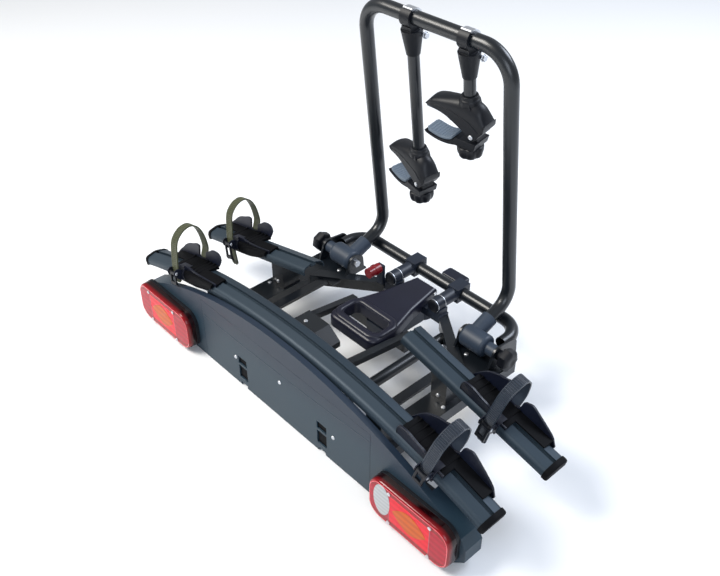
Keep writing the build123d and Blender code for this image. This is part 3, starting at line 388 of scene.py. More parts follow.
@dataclass(frozen=True)
class Seat:
    """A local set of axes that a piece is drawn in, in millimetres."""

    origin: Vector
    x: Vector
    y: Vector
    z: Vector

    def at(self, x: float, y: float, z: float) -> Vector:
        """Gives the point at these local measures."""
        return self.origin + x * self.x + y * self.y + z * self.z

    def moved(self, x: float, y: float, z: float) -> "Seat":
        """Gives the same axes from another local point."""
        return Seat(self.at(x, y, z), self.x, self.y, self.z)

    def turned(self, degrees: float) -> "Seat":
        """Gives the axes turned about their own z."""
        turn = math.radians(degrees)
        return Seat(self.origin, math.cos(turn) * self.x + math.sin(turn) * self.y,
                    math.cos(turn) * self.y - math.sin(turn) * self.x, self.z)

    def rolled(self) -> "Seat":
        """Gives the axes with their x turned to z, so that an outline stands across x."""
        return Seat(self.origin, self.y, self.z, self.x)


def seat_along(origin: Point, direction: Point, hint: Point = UPWARDS) -> Seat:
    """Builds a seat whose z runs along a direction.

    Args:
        origin: The seat's origin.
        direction: Where its z points.
        hint: A direction that its x leans towards.

    Returns:
        The seat.
    """
    z = Vector(direction).normalized()
    x = (Vector(hint) - Vector(hint).dot(z) * z).normalized()
    return Seat(Vector(origin), x, z.cross(x), z)


def steps(start: float, end: float, count: int) -> list[float]:
    """Gives evenly spaced values from start to end, both included."""
    return [start + (end - start) * i / (count - 1) for i in range(count)]


def hermite(start: float, leave: float, end: float, arrive: float, s: float) -> float:
    """Gives the cubic from start to end with these slopes, at the share s of the way."""
    a, b, c, d = 2 * s**3 - 3 * s**2 + 1, s**3 - 2 * s**2 + s, 3 * s**2 - 2 * s**3, s**3 - s**2
    return a * start + b * leave + c * end + d * arrive


def height_on(points: Outline, t: float) -> float:
    """Reads a smooth line through points at t.

    Args:
        points: The line's points, in rising order of their first value.
        t: Where to read it.

    Returns:
        The second value there, held level past either end.
    """
    if t <= points[0][0]:
        return points[0][1]
    if t >= points[-1][0]:
        return points[-1][1]
    i = max(k for k in range(len(points) - 1) if points[k][0] <= t)
    (x0, y0), (x1, y1) = points[i], points[i + 1]
    before, after = points[max(i - 1, 0)], points[min(i + 2, len(points) - 1)]
    span = x1 - x0
    m0 = (y1 - before[1]) / (x1 - before[0]) * span
    m1 = (after[1] - y0) / (after[0] - x0) * span
    return hermite(y0, m0, y1, m1, (t - x0) / span)


def through(points: Outline, gap: float) -> list[Pair]:
    """Draws a smooth line through points and walks along it.

    Args:
        points: The points that it passes through.
        gap: The length of each step.

    Returns:
        Points along the line, about a step apart.
    """
    line = [points[0]]
    for i in range(len(points) - 1):
        (x0, y0), (x1, y1) = points[i], points[i + 1]
        before, after = points[max(i - 1, 0)], points[min(i + 2, len(points) - 1)]
        span = math.dist(points[i], points[i + 1])
        first, last = math.dist(before, points[i + 1]), math.dist(points[i], after)
        mx0, my0 = span * (x1 - before[0]) / first, span * (y1 - before[1]) / first
        mx1, my1 = span * (after[0] - x0) / last, span * (after[1] - y0) / last
        for u in steps(0, 1, max(2, round(span / gap) + 1))[1:]:
            line.append((hermite(x0, mx0, x1, mx1, u), hermite(y0, my0, y1, my1, u)))
    return line


@dataclass
class Shape:
    """Points and faces gathered for one piece, in millimetres."""

    points: list[Vector] = field(default_factory=list)
    faces: list[list[int]] = field(default_factory=list)

    def loft(self, rings: Sequence[Sequence[Vector]], caps: bool = True) -> "Shape":
        """Joins closed rings of equal length with faces.

        Args:
            rings: The rings, in order.
            caps: Whether the first and last ring are filled.

        Returns:
            This shape.
        """
        start, count = len(self.points), len(rings[0])
        for ring in rings:
            self.points.extend(ring)
        for i in range(len(rings) - 1):
            for j in range(count):
                a, b = start + i * count + j, start + i * count + (j + 1) % count
                self.faces.append([a, b, b + count, a + count])
        if caps:
            last = start + (len(rings) - 1) * count
            self.faces.append([start + j for j in reversed(range(count))])
            self.faces.append([last + j for j in range(count)])
        return self

    def prism(self, seat: Seat, outline: Outline, low: float, high: float) -> "Shape":
        """Adds an outline in the seat's x and y, carried along its z from low to high."""
        return self.loft([[seat.at(x, y, z) for x, y in outline] for z in (low, high)])

    def turned(self, seat: Seat, profile: Outline, turns: int = 32,
               wave: Callable[[float], float] = lambda angle: 1.0) -> "Shape":
        """Adds pairs of radius and height turned about the seat's z; wave scales the radius by angle."""
        angles = [math.tau * k / turns for k in range(turns)]
        return self.loft([[seat.at(r * wave(a) * math.cos(a), r * wave(a) * math.sin(a), h) for a in angles]
                          for r, h in profile])

    def piece(self, name: str, finish: Finish, body: str, slot: str = "black_plastic",
              bevel: float = 0.0, crease: float = 35.0) -> bpy.types.Object:
        """Makes the Blender object and lets it ride.

        Args:
            name: The piece's name.
            finish: Its finish.
            body: The CAD body that it rides on.
            slot: The record's slot that its finish stands for. It is not used.
            bevel: Width of the rounding on its sharp edges.
            crease: Edges sharper than this angle in degrees stay sharp.

        Returns:
            The object.
        """
        data = bpy.data.meshes.new(name)
        data.from_pydata([p * METRES for p in self.points], [], self.faces)
        tidy = bmesh.new()
        tidy.from_mesh(data)
        bmesh.ops.remove_doubles(tidy, verts=tidy.verts, dist=1e-6)
        bmesh.ops.recalc_face_normals(tidy, faces=tidy.faces)
        tidy.to_mesh(data)
        tidy.free()
        data.shade_smooth()
        made = bpy.data.objects.new(name, data)
        bpy.context.scene.collection.objects.link(made)
        data.materials.append(finish.material())
        if bevel:
            cut = made.modifiers.new("rounding", "BEVEL")
            cut.width = bevel * METRES
            cut.segments = 2
            cut.limit_method = "ANGLE"
            cut.angle_limit = math.radians(crease)
            cut.harden_normals = True
        else:
            data.set_sharp_from_angle(angle=math.radians(crease))
        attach(made, body)
        LOG.info("%s rides on %s", name, body)
        return made


@dataclass
class SubAssembly:
    """A sub-assembly whose pieces and bodies have names that start with its own."""

    name: str

    def add(self, shape: Shape, label: str, finish: Finish, part: str, slot: str = "black_plastic",
            **edges: float) -> bpy.types.Object:
        """Makes a piece that rides on the body that part names, with the bevel or crease given."""
        return shape.piece(f"{self.name}_{label}", finish, f"{self.name}_{part}", slot, **edges)


# Wheel rails and holders


@dataclass(frozen=True)
class Rail:
    """One wheel rail: the rear one is a wide arc, and the front one is straight on each side."""

    y: float
    top: float
    reach: float
    arc: float = 0.0
    slope: float = 0.0
    start: float = 0.0

    def seat(self, x: float, along: float = 0.0) -> Seat:
        """Gives the rail's section at a place along it.

        Args:
            x: The place across the carrier.
            along: A further way along the rail towards +X.

        Returns:
            A seat with x along the rail towards +X, y towards the car and z up out of the rail.
        """
        if self.arc:
            turn = math.asin(x / self.arc) + along / self.arc
            origin = Vector((self.arc * math.sin(turn), self.y, self.top - self.arc * (1 - math.cos(turn))))
        else:
            turn = math.copysign(math.radians(self.slope), x)
            height = self.top - (abs(x) - self.start) * math.tan(math.radians(self.slope))
            origin = Vector((x + along * math.cos(turn), self.y, height - along * math.sin(turn)))
        return Seat(origin, Vector((math.cos(turn), 0, -math.sin(turn))), Vector((0, 1, 0)),
                    Vector((math.sin(turn), 0, math.cos(turn))))


REAR_RAIL = Rail(y=-382, top=139, reach=545, arc=1700)
FRONT_RAIL = Rail(y=-198, top=131.6, reach=541, slope=13.17, start=160)

# Tops of the holders' walls over the rail's crown line, read along the rail from the strap
FAR_TOPS = {
    "right": ((-107, -16), (-96, 1), (-81, 18), (-60, 30), (-40, 36), (-14, 38), (-13.5, 8), (15.5, 8),
              (16, 21), (26, 28), (36, 31), (49, 27), (63, 22), (82, 15), (98, 8), (108, 0), (113, -7)),
    "left": ((-112, -4), (-96, 7), (-84, 14), (-70, 23), (-50, 27.5), (-14, 29), (-13.5, 8), (15.5, 8),
             (16, 20), (25, 24), (36, 30), (51, 31.5), (66, 29), (74, 23), (77, 16)),
}
NEAR_TOPS = {
    "right": ((-93, -5), (-92, 14), (-88, 27), (-78, 33), (-62, 34), (-40, 28), (-16, 22), (-14, 8),
              (-8, 5), (30, 4.5)),
    "left": ((-36, -5), (-35, 10), (-30, 17), (-17, 20), (-13, 9), (14, 9), (18, 16), (44, 13), (60, 8),
             (90, 5), (138, 4.5)),
}
# Lower edges of the same walls, which rise towards their tips
FAR_FEET = {
    "right": ((-107, -20), (-98, -25.4), (94, -25.4), (104, -20), (113, -11)),
    "left": ((-112, -16), (-102, -25.4), (40, -25.4), (50, -15), (62, -7), (72, 3), (77, 12)),
}
SKIRT_FEET = ((-17, -25), (58, -25), (84, -21.5), (110, -16), (130, -7))


@dataclass
class WheelHolder(SubAssembly):
    """A wheel cradle on its rail, with its ratchet strap and buckle.

    In its sections q runs across the rail towards the car and h up from the rail's crown line.
    """

    rail: Rail
    x: float
    tail: float
    lever_drop: float
    wall: float = 3.0
    outer: float = 33.6
    lip: float = 25.4
    near_foot: float = 24.0
    far_lean: float = 0.25
    near_lean: float = 0.18
    bead: float = 1.3
    strap_half: float = 12.0
    strap_thick: float = 1.75
    strap_back: float = -1.4
    groove: float = 0.25
    tooth_pitch: float = 4.6
    strap_step: float = 1.15

    def side(self) -> str:
        """Gives the side of the carrier that the holder is on."""
        return self.name.split("_")[0]

    def spot(self, t: float, q: float, h: float) -> Vector:
        """Gives the point at t along the rail, q across it and h over its crown line."""
        return self.rail.seat(self.x, t).at(0, q, h)

    def strip(self, shape: Shape, spans: Sequence[float], ring: Callable[[float], Outline]) -> None:
        """Adds a bar along the rail, whose section is what the ring gives at each of the spans."""
        shape.loft([[self.spot(t, q, h) for q, h in ring(t)] for t in spans])

    def bar(self, shape: Shape, spans: Sequence[float], section: Outline) -> None:
        """Adds a bar along the rail with one section all the way."""
        self.strip(shape, spans, lambda t: section)

    def far_ring(self, t: float) -> Outline:
        """Gives the section of the far wall, which leans out to a rolled rim.

        Args:
            t: The place along the rail.

        Returns:
            Its points, across and up.
        """
        base = max(height_on(FAR_FEET[self.side()], t), -self.lip)
        top = max(height_on(FAR_TOPS[self.side()], t), base + 3)
        bead = self.bead if top > 0 else 0.0
        rise = [base + (top - base) * share for share in (0, 0.35, 0.7)]
        face = [self.outer + self.far_lean * max(h, 0) for h in rise]
        edge = self.outer + self.far_lean * max(top, 0)
        return (list(zip(face, rise))
                + [(edge, top - 1.4), (edge + bead, top - 0.9), (edge + bead, top), (edge - self.wall, top)]
                + [(q - self.wall, h) for q, h in reversed(list(zip(face, rise)))])

    def near_ring(self, t: float) -> Outline:
        """Gives the section of the near wall, which leans out to a rolled rim.

        Args:
            t: The place along the rail.

        Returns:
            Its points, across and up.
        """
        top, wall = height_on(NEAR_TOPS[self.side()], t), self.wall
        lean, foot = self.near_lean * max(top, 0), -self.near_foot
        bead = self.bead if top > 10 else 0.0
        return ((foot, -4), (foot - 0.5 * lean, top * 0.5), (foot - lean, top - 4),
                (foot - lean - bead, top - 2.5), (foot - lean - bead, top), (foot - lean + wall, top),
                (foot - 0.5 * lean + wall, top * 0.5), (foot + wall, 1))

    def cradle(self) -> None:
        """Builds the cradle's flared walls with their rolled rims."""
        far, near = FAR_TOPS[self.side()], NEAR_TOPS[self.side()]
        shape = Shape()
        for line, ring in ((far, self.far_ring), (near, self.near_ring)):
            spans = sorted({p[0] for p in line} | set(steps(line[0][0], line[-1][0], 46)))
            self.strip(shape, spans, ring)
        cradle = self.add(shape, "cradle", POLYPROPYLENE, "holder", bevel=0.9)
        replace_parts(cradle, f"{self.name}_wheel_tray")

    def bed(self) -> None:
        """Builds the ribbed bed that the tyre stands on, its hook under the rail and the near skirt."""
        near, far = NEAR_TOPS[self.side()], FAR_TOPS[self.side()]
        near_start, near_end, far_start, far_end = near[0][0], near[-1][0], far[1][0] + 4, far[-2][0] - 4
        shape, outer, lip, foot = Shape(), self.outer, self.lip, self.near_foot
        self.bar(shape, steps(near_start, near_end, 36),
                 ((1 - foot, -3.6), (-4.5, 0.4), (4.5, 0.4), (4.5, 4.2), (-4.5, 4.2), (1 - foot, 1.2)))
        self.bar(shape, steps(far_start, far_end, 36),
                 ((4.5, 0.4), (outer - 1.5, -5.8), (outer - 1.5, 3.4), (4.5, 4.2)))
        self.bar(shape, steps(far_start + 6, far_end - 14, 24),
                 ((26.2, -lip), (outer - 1, -lip), (outer - 1, 2.8 - lip), (26.2, 2.8 - lip)))
        for mid in steps(near_start + 12, min(near_end, far_end) - 12, 7):
            if abs(mid) > self.strap_half + 5:
                rows = []
                for t in (mid - 1.5, mid - 0.6, mid + 0.6, mid + 1.5):
                    low = abs(t - mid)
                    section = ((-18, 1.6), (-18, 5.4 - low), (20, 5.4 - low), (30.4, 9 - low), (30.9, 3.0))
                    rows.append([self.spot(t, q, h) for q, h in section])
                shape.loft(rows)
        if self.side() == "left":
            self.strip(shape, steps(SKIRT_FEET[0][0], SKIRT_FEET[-1][0], 30), self.skirt_ring)
        # The bed, its hook and the skirt are near black: painted shade on the holder's floor and underside
        self.add(shape, "tyre_bed_painted_shade", BLACK_AND_PAINTED_SHADE, "holder", bevel=0.7)

    def skirt_ring(self, t: float) -> Outline:
        """Gives the section of the skirt that hangs over the rail's near edge.

        Args:
            t: The place along the rail.

        Returns:
            Its points, across and up.
        """
        hem = height_on(SKIRT_FEET, t)
        return ((-self.near_foot, -3.6), (-30.9, -5.4), (-31.6, -6.4), (-31.6, hem), (-self.outer, hem),
                (-self.outer, -4.5), (-31, 1.2), (-self.near_foot, 2.6))

    def buckle(self) -> None:
        """Builds the clamp block on the near flange, the ratchet's cheeks, its pin and rivets."""
        outer, lip, seat = self.outer, self.lip, self.rail.seat(self.x)
        shape = Shape()
        self.bar(shape, steps(-17, 17, 9),
                 ((-4.5, 0.4), (-30.4, -5.6), (-30.4, -22.4), (-26.2, -22.4), (-26.2, -lip), (-outer, -lip),
                  (-outer - 1, -10), (-outer - 0.5, 0), (-31, 5), (-24, 7), (-4.5, 4.2)))
        cheek = (
            (1 - outer, -18), (1 - outer, 5), (-40, 11), (-48, 12), (-54, 9), (-56.5, 3), (-55, -4),
            (-50, -9), (-44, -17))
        for start in (-15.0, 12.5):
            shape.prism(seat.rolled(), cheek, start, start + 2.5)
        for start in (-16, 16):
            rib = seat.moved(start, 0, 0).rolled()
            shape.prism(rib, ((1 - outer, -20), (1 - outer, 2), (-38, -6)), -1, 1)
        self.add(shape, "buckle_block", POLYPROPYLENE, "holder", bevel=0.8)
        bright = Shape()
        for end, way in ((-15.0, -1), (15.0, 1)):
            head = Seat(seat.at(end, -50, 2), seat.y, seat.z, seat.x * way)
            bright.turned(head, ((3.6, 0), (3.6, 0.7), (2.8, 1.3), (1.2, 1.6)), 20)
        for t in (-12, 13):
            head = Seat(self.spot(t, -outer - 0.8, -12), seat.x, seat.z, -seat.y)
            bright.turned(head, ((2.9, 0), (2.9, 0.5), (2.0, 1.2), (0.8, 1.4)), 20)
        self.add(bright, "rivets", ZINC, "holder", "plated_steel")

    def lever(self) -> None:
        """Builds the buckle's release lever, a curved frame with an open slot and a thumb bar."""
        seat, drop, shape = self.rail.seat(self.x), self.lever_drop, Shape()
        line = (
            (-50, 7), (-50.5, 2), (-51.5, -6), (-53, -0.55 * drop), (-53.5, -0.8 * drop), (-51.5, -drop))
        for left, right in ((-12.1, -6.5), (6.5, 12.1)):
            section = ((left, -2.2), (right, -2.2), (right, 2.2), (left, 2.2))
            shape.loft([[seat.at(t, q + d, h) for t, d in section] for q, h in line])
        for q, h in (line[1], line[4]):
            section = ((-3, -4), (2.6, -4), (3, 3.5), (-2.6, 4))
            shape.loft([[seat.at(t, q + d, h + e) for d, e in section] for t in steps(-12, 12, 5)])
        lever = self.add(shape, "release_lever", NYLON, "buckle", bevel=0.9)
        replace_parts(lever, f"{self.name}_buckle_lever")

    def strap(self) -> None:
        """Builds the ribbed strap: out past the far wall, over the wheel and down past the buckle."""
        edge = self.outer + 1.8
        bends = (
            (edge, -15.5), (edge, -3), (38.8, 8), (46.8, 26), (46.8, 45), (43.8, 64), (38, 79.5),
            (30, 89.5), (21.5, 94.8), (12, 96), (-1, 93), (-10, 88), (-19, 80.5), (-25.5, 72), (-30, 61),
            (-34.6, 40), (-40.2, 14), (-40.9, 0), (-41.5, -self.tail))
        fine = through(bends, self.strap_step)
        walked, rows, thick, back = 0.0, [], self.strap_thick, self.strap_back
        for i, (q, h) in enumerate(fine):
            q0, h0 = fine[max(i - 2, 0)]
            q1, h1 = fine[min(i + 2, len(fine) - 1)]
            length = math.dist((q0, h0), (q1, h1))
            out_q, out_h = (h1 - h0) / length, -(q1 - q0) / length
            walked += math.dist(fine[max(i - 1, 0)], (q, h))
            rib = thick if (walked % self.tooth_pitch) < self.tooth_pitch * 0.5 else self.groove
            half = self.strap_half * min(1.0, 0.45 + 0.12 * (len(fine) - 1 - i))
            ring = (
                (-half, back), (half, back), (half, thick), (half - 1.8, thick), (half - 2.6, rib),
                (2.6 - half, rib), (1.8 - half, thick), (-half, thick))
            rows.append([self.spot(t, q + out_q * d, h + out_h * d) for t, d in ring])
        # The right pair's straps take the darker, bluer copy of the strap nylon: painted shade
        finish = STRAP_NYLON if self.side() == "left" else SHADED_STRAP_NYLON
        strap = self.add(Shape().loft(rows), "ribbed_strap", finish, "holder", "strap_plastic", crease=40)
        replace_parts(strap, f"{self.name}_wheel_strap")

    def build(self) -> None:
        """Builds the holder."""
        self.cradle()
        self.bed()
        self.buckle()
        self.lever()
        self.strap()


@dataclass
class RailCaps:
    """The moulded caps that close the rails' ends."""

    outline: Outline = (
        (-31.5, -23.5), (-31.5, -12), (-29.5, -6.5), (-25, -3.2), (-15, -0.8), (-4.5, 1.5), (4.5, 1.5),
        (15, -1.0), (25, -3.6), (29.5, -7.2), (31.5, -13), (31.5, -23.5))
    middle: float = -11.0
    taper: Outline = ((0, 1.0), (0.4, 1.0), (8, 1.0), (10.5, 0.975), (12.2, 0.93), (12.9, 0.86))

    def build(self) -> None:
        """Builds all four caps as one piece each, rounded towards their outer end."""
        for rail, row in ((REAR_RAIL, "rear"), (FRONT_RAIL, "front")):
            for side, way in (("right", 1), ("left", -1)):
                rings = []
                for along, shrink in self.taper:
                    seat = rail.seat(way * rail.reach, way * along)
                    rings.append([seat.at(0, q * shrink, self.middle + (h - self.middle) * shrink)
                                  for q, h in self.outline])
                cap = Shape().loft(rings).piece(f"{side}_{row}_end_cap", BLACK_AND_PAINTED_SHADE, "platform", crease=30)
                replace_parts(cap, "rail_end_caps")


# Bicycle frame clamps and their knobs


def lobes(count: int, depth: float) -> Callable[[float], float]:
    """Gives the radius wave of a grip with lobes, whose hollows go in by a share of the radius."""
    return lambda angle: 1 - depth * (0.5 - 0.5 * math.cos(count * angle)) ** 2


def facets(count: int) -> Callable[[float], float]:
    """Gives the radius wave of a grip with flat sides."""
    half = math.pi / count
    return lambda angle: math.cos(half) / math.cos(angle % (2 * half) - half)


@dataclass
class FrameClamp(SubAssembly):
    """A bicycle frame clamp at the lower end of its arm.

    In its lines u runs along the jaws towards the arm and the second value up the arm.
    """

    x: float
    drop: float
    swivel: float
    lean: float = 7.45
    bar_z: float = 686.0
    bar_y: float = 80.2 - 686 * math.tan(math.radians(7.45))
    half: float = 24.0
    crown: Outline = (
        (-98, -31), (-86, -17), (-68, -10.5), (-50, -6.5), (-25, -2), (0, 0), (18, -3), (34, -13),
        (47, -40))
    seam: Outline = ((-98, -32), (-70, -24.5), (-43, -25), (-13, -31), (14, -40), (36, -56), (47, -52))
    belly: Outline = (
        (-98, -33.2), (-66, -35.3), (-43, -41.5), (-22, -52.5), (-12, -58), (0, -65), (10, -73),
        (26, -77), (38, -63), (46, -53), (47, -42))
    upper_back: Outline = ((-98, -33.4), (-66, -35.4), (-43, -41.4), (-26, -51.5))
    upper_face: Outline = ((-98, -36.4), (-66, -39), (-44, -45.4), (-28, -54.8))
    lower_back: Outline = ((-97.8, -93.4), (-60, -101), (-36, -96.4), (-22.5, -85))
    lower_face: Outline = ((-97.8, -90), (-60, -96.6), (-38, -91.6), (-25, -81))
    pad_half: float = 21.0
    pad_rib: float = 1.5
    grip: Outline = (
        (7, -133.5), (12, -132.6), (19, -131.5), (24, -129), (26.6, -125), (27.9, -119), (28.2, -111.5),
        (27.6, -107.8), (25.6, -105.6), (22.5, -104.7), (15, -104.4), (9, -104.4))
    thread_pitch: float = 1.5
    thread_turns: int = 55

    def seat(self, drop: float) -> Seat:
        """Gives the clamp's axes: x along the bar, y out of the upright's plane, z up the arm.

        Args:
            drop: How far down the arm they start.

        Returns:
            The axes, turned by the clamp's swivel.
        """
        lean = math.radians(self.lean)
        base = Seat(Vector((self.x, self.bar_y, self.bar_z)), Vector((1, 0, 0)),
                    Vector((0, math.cos(lean), math.sin(lean))),
                    Vector((0, -math.sin(lean), math.cos(lean))))
        return base.moved(0, 0, -drop).turned(self.swivel)

    def hood(self) -> None:
        """Builds the crowned hood with its seam, the arm's socket and the heads of the jaw's pin."""
        seat, rings = self.seat(self.drop), []
        for u in [-98, -96, -92] + steps(-86, 34, 40) + [37, 40, 43, 45.5, 47]:
            high, under = height_on(self.crown, u), height_on(self.belly, u)
            split = min(max(height_on(self.seam, u), under + 0.8), high - 0.8)
            taper = min(1.0, 0.80 + (u + 98) * 0.012) * (1 - 0.10 * max(0.0, (u - 20) / 27) ** 2)
            wide, rise = self.half * taper, high - split
            section = [(0, under), (-wide * 0.9, under), (-wide, under + 0.6), (-wide, split - 0.4),
                       (-wide + 0.9, split - 0.2), (-wide + 0.9, split + 0.6),
                       (-wide + 1.4, split + 0.30 * rise)]
            section += [(-wide * share, split + part * rise)
                        for share, part in ((0.84, 0.62), (0.62, 0.82), (0.32, 0.955))] + [(0, high)]
            section += [(-v, w) for v, w in reversed(section[1:-1])]
            rings.append([seat.at(u, v, w) for v, w in section])
        hood = self.add(Shape().loft(rings), "hood", NYLON, "clamp", crease=38)
        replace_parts(hood, f"{self.name}_upper_jaw")
        collar = Shape().turned(seat, ((21, -12), (21.5, -3), (20.5, 0.5), (18.6, 2.4), (17.8, 7),
                                       (17.2, 8.6), (15.2, 9.2), (12.7, 9.0), (12.7, -10)), 48)
        for side in (-1, 1):
            rib = seat.moved(0, side * 18, -8)
            corners = ((-16, -9), (-12, 5), (12, 5), (16, -9))
            collar.loft([[rib.at(u, v, w) for u, w in corners] for v in (-1.4, 1.4)])
        self.add(collar, "socket_collar", NYLON, "clamp", bevel=0.6)
        heads = Shape()
        for way in (-1, 1):
            end = Seat(seat.at(18, way * 24, -71), seat.x, seat.z, way * seat.y)
            heads.turned(end, ((5.2, 0), (5.2, 1.4), (4.4, 2.2), (2.2, 2.4), (1.8, 1.7)), 24)
        self.add(heads, "pin_heads", ZINC, "clamp", "plated_steel")

    def pads(self) -> None:
        """Builds the two ribbed pads that grip the bicycle's frame."""
        seat = self.seat(self.drop)
        both = (
            ("upper", self.upper_back, self.upper_face, -1, "clamp"),
            ("lower", self.lower_back, self.lower_face, 1, "lower_jaw"),
        )
        for label, back, face, way, part in both:
            rings, spans = [], steps(back[0][0], min(back[-1][0], face[-1][0]), 68)
            for i, u in enumerate(spans):
                edge = min(i, len(spans) - 1 - i)
                wide = self.pad_half * min(1.0, 0.72 + 0.05 * edge)
                b, f = height_on(back, u), height_on(face, u)
                flat = f + way * 0.4
                rib = f + way * (self.pad_rib if (i // 3) % 2 and edge > 3 else 0.0)
                left = [(-wide, b), (-wide, f - way * 1.0), (1.2 - wide, flat), (3 - wide, flat),
                        (4.2 - wide, rib), (-1.4, rib), (-0.8, flat)]
                rings.append([seat.at(u, v, w) for v, w in left + [(-v, w) for v, w in reversed(left)]])
            pad = self.add(Shape().loft(rings), f"{label}_ribbed_pad", PAD_RUBBER, part, "pad_rubber",
                           crease=30)
            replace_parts(pad, f"{self.name}_{label}_pad")

    def knob(self) -> None:
        """Builds the lobed clamping knob under the clamp, with its collar and threaded rod."""
        seat = self.seat(self.drop)
        shape = Shape().turned(seat, self.grip, 84, lobes(7, 0.10))
        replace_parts(self.add(shape, "grip_knob", NYLON, "jaw_knob", crease=40), f"{self.name}_jaw_knob")
        collar = Shape().turned(seat, ((4.6, -104.6), (15.5, -104.6), (16, -102), (14.5, -100.2),
                                       (4.6, -100.2)), 40)
        self.add(collar, "knob_collar", NYLON, "jaw_knob", bevel=0.5)
        thread = [(4.0 if k % 2 else 3.4, -101 + k * self.thread_pitch / 2)
                  for k in range(2 * self.thread_turns)]
        rod = Shape().turned(seat, thread, 20)
        self.add(rod, "threaded_rod", ZINC, "jaw_knob", "plated_steel", crease=25)

    def head(self) -> None:
        """Adds the head's bolt and nut through the hook."""
        seat, bolt = self.seat(0).turned(-self.swivel), Shape()
        for way, turns in ((-1, 32), (1, 6)):
            end = Seat(seat.at(way * 23.4, 12.1, -38), seat.y, seat.z, way * seat.x)
            bolt.turned(end, ((8, 0), (8, 1.2), (6.6, 1.4), (6.6, 5.6), (5.8, 6.4), (1.0, 6.4)), turns)
        self.add(bolt, "head_bolt", ZINC, "arm", "plated_steel", bevel=0.4)

    def build(self) -> None:
        """Builds the clamp."""
        self.hood()
        self.pads()
        self.knob()
        self.head()


@dataclass
class PivotKnob(SubAssembly):
    """A faceted knob that locks the upright's pivot."""

    way: int
    pivot: Pair = (-51.0, 50.0)
    depth: float = 27.0
    grip: Outline = (
        (9, 0.5), (20, 1), (24.2, 3), (25.8, 7), (26, 16), (25.2, 21), (22.5, 24.5), (17, 26.4), (9, 27),
        (6, 25.6))

    def build(self) -> None:
        """Builds the knob with its neck and washer."""
        low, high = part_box(f"{self.name}_pivot_knob")
        inner, outer = (pick(abs(low.x), abs(high.x)) / METRES for pick in (min, max))
        seat = seat_along((self.way * inner, *self.pivot), (self.way, 0, 0))
        neck = outer - inner - self.depth
        shape = Shape().turned(seat, [(r, neck + h) for r, h in self.grip], 84, facets(7))
        knob = self.add(shape, "lobed_knob", NYLON, "pivot_knob", crease=40)
        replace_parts(knob, f"{self.name}_pivot_knob")
        stem = Shape().turned(seat, ((6, 0.1), (11.5, 0.1), (12, 1), (12, neck - 2), (14, neck + 1.4),
                                     (6, neck + 1.4)), 40)
        self.add(stem, "knob_neck", NYLON, "pivot_knob", bevel=0.5)


# Light board


class Lens(Enum):
    """What a lamp shows at its inner end."""

    FOG = "fog"
    REVERSE = "reverse"


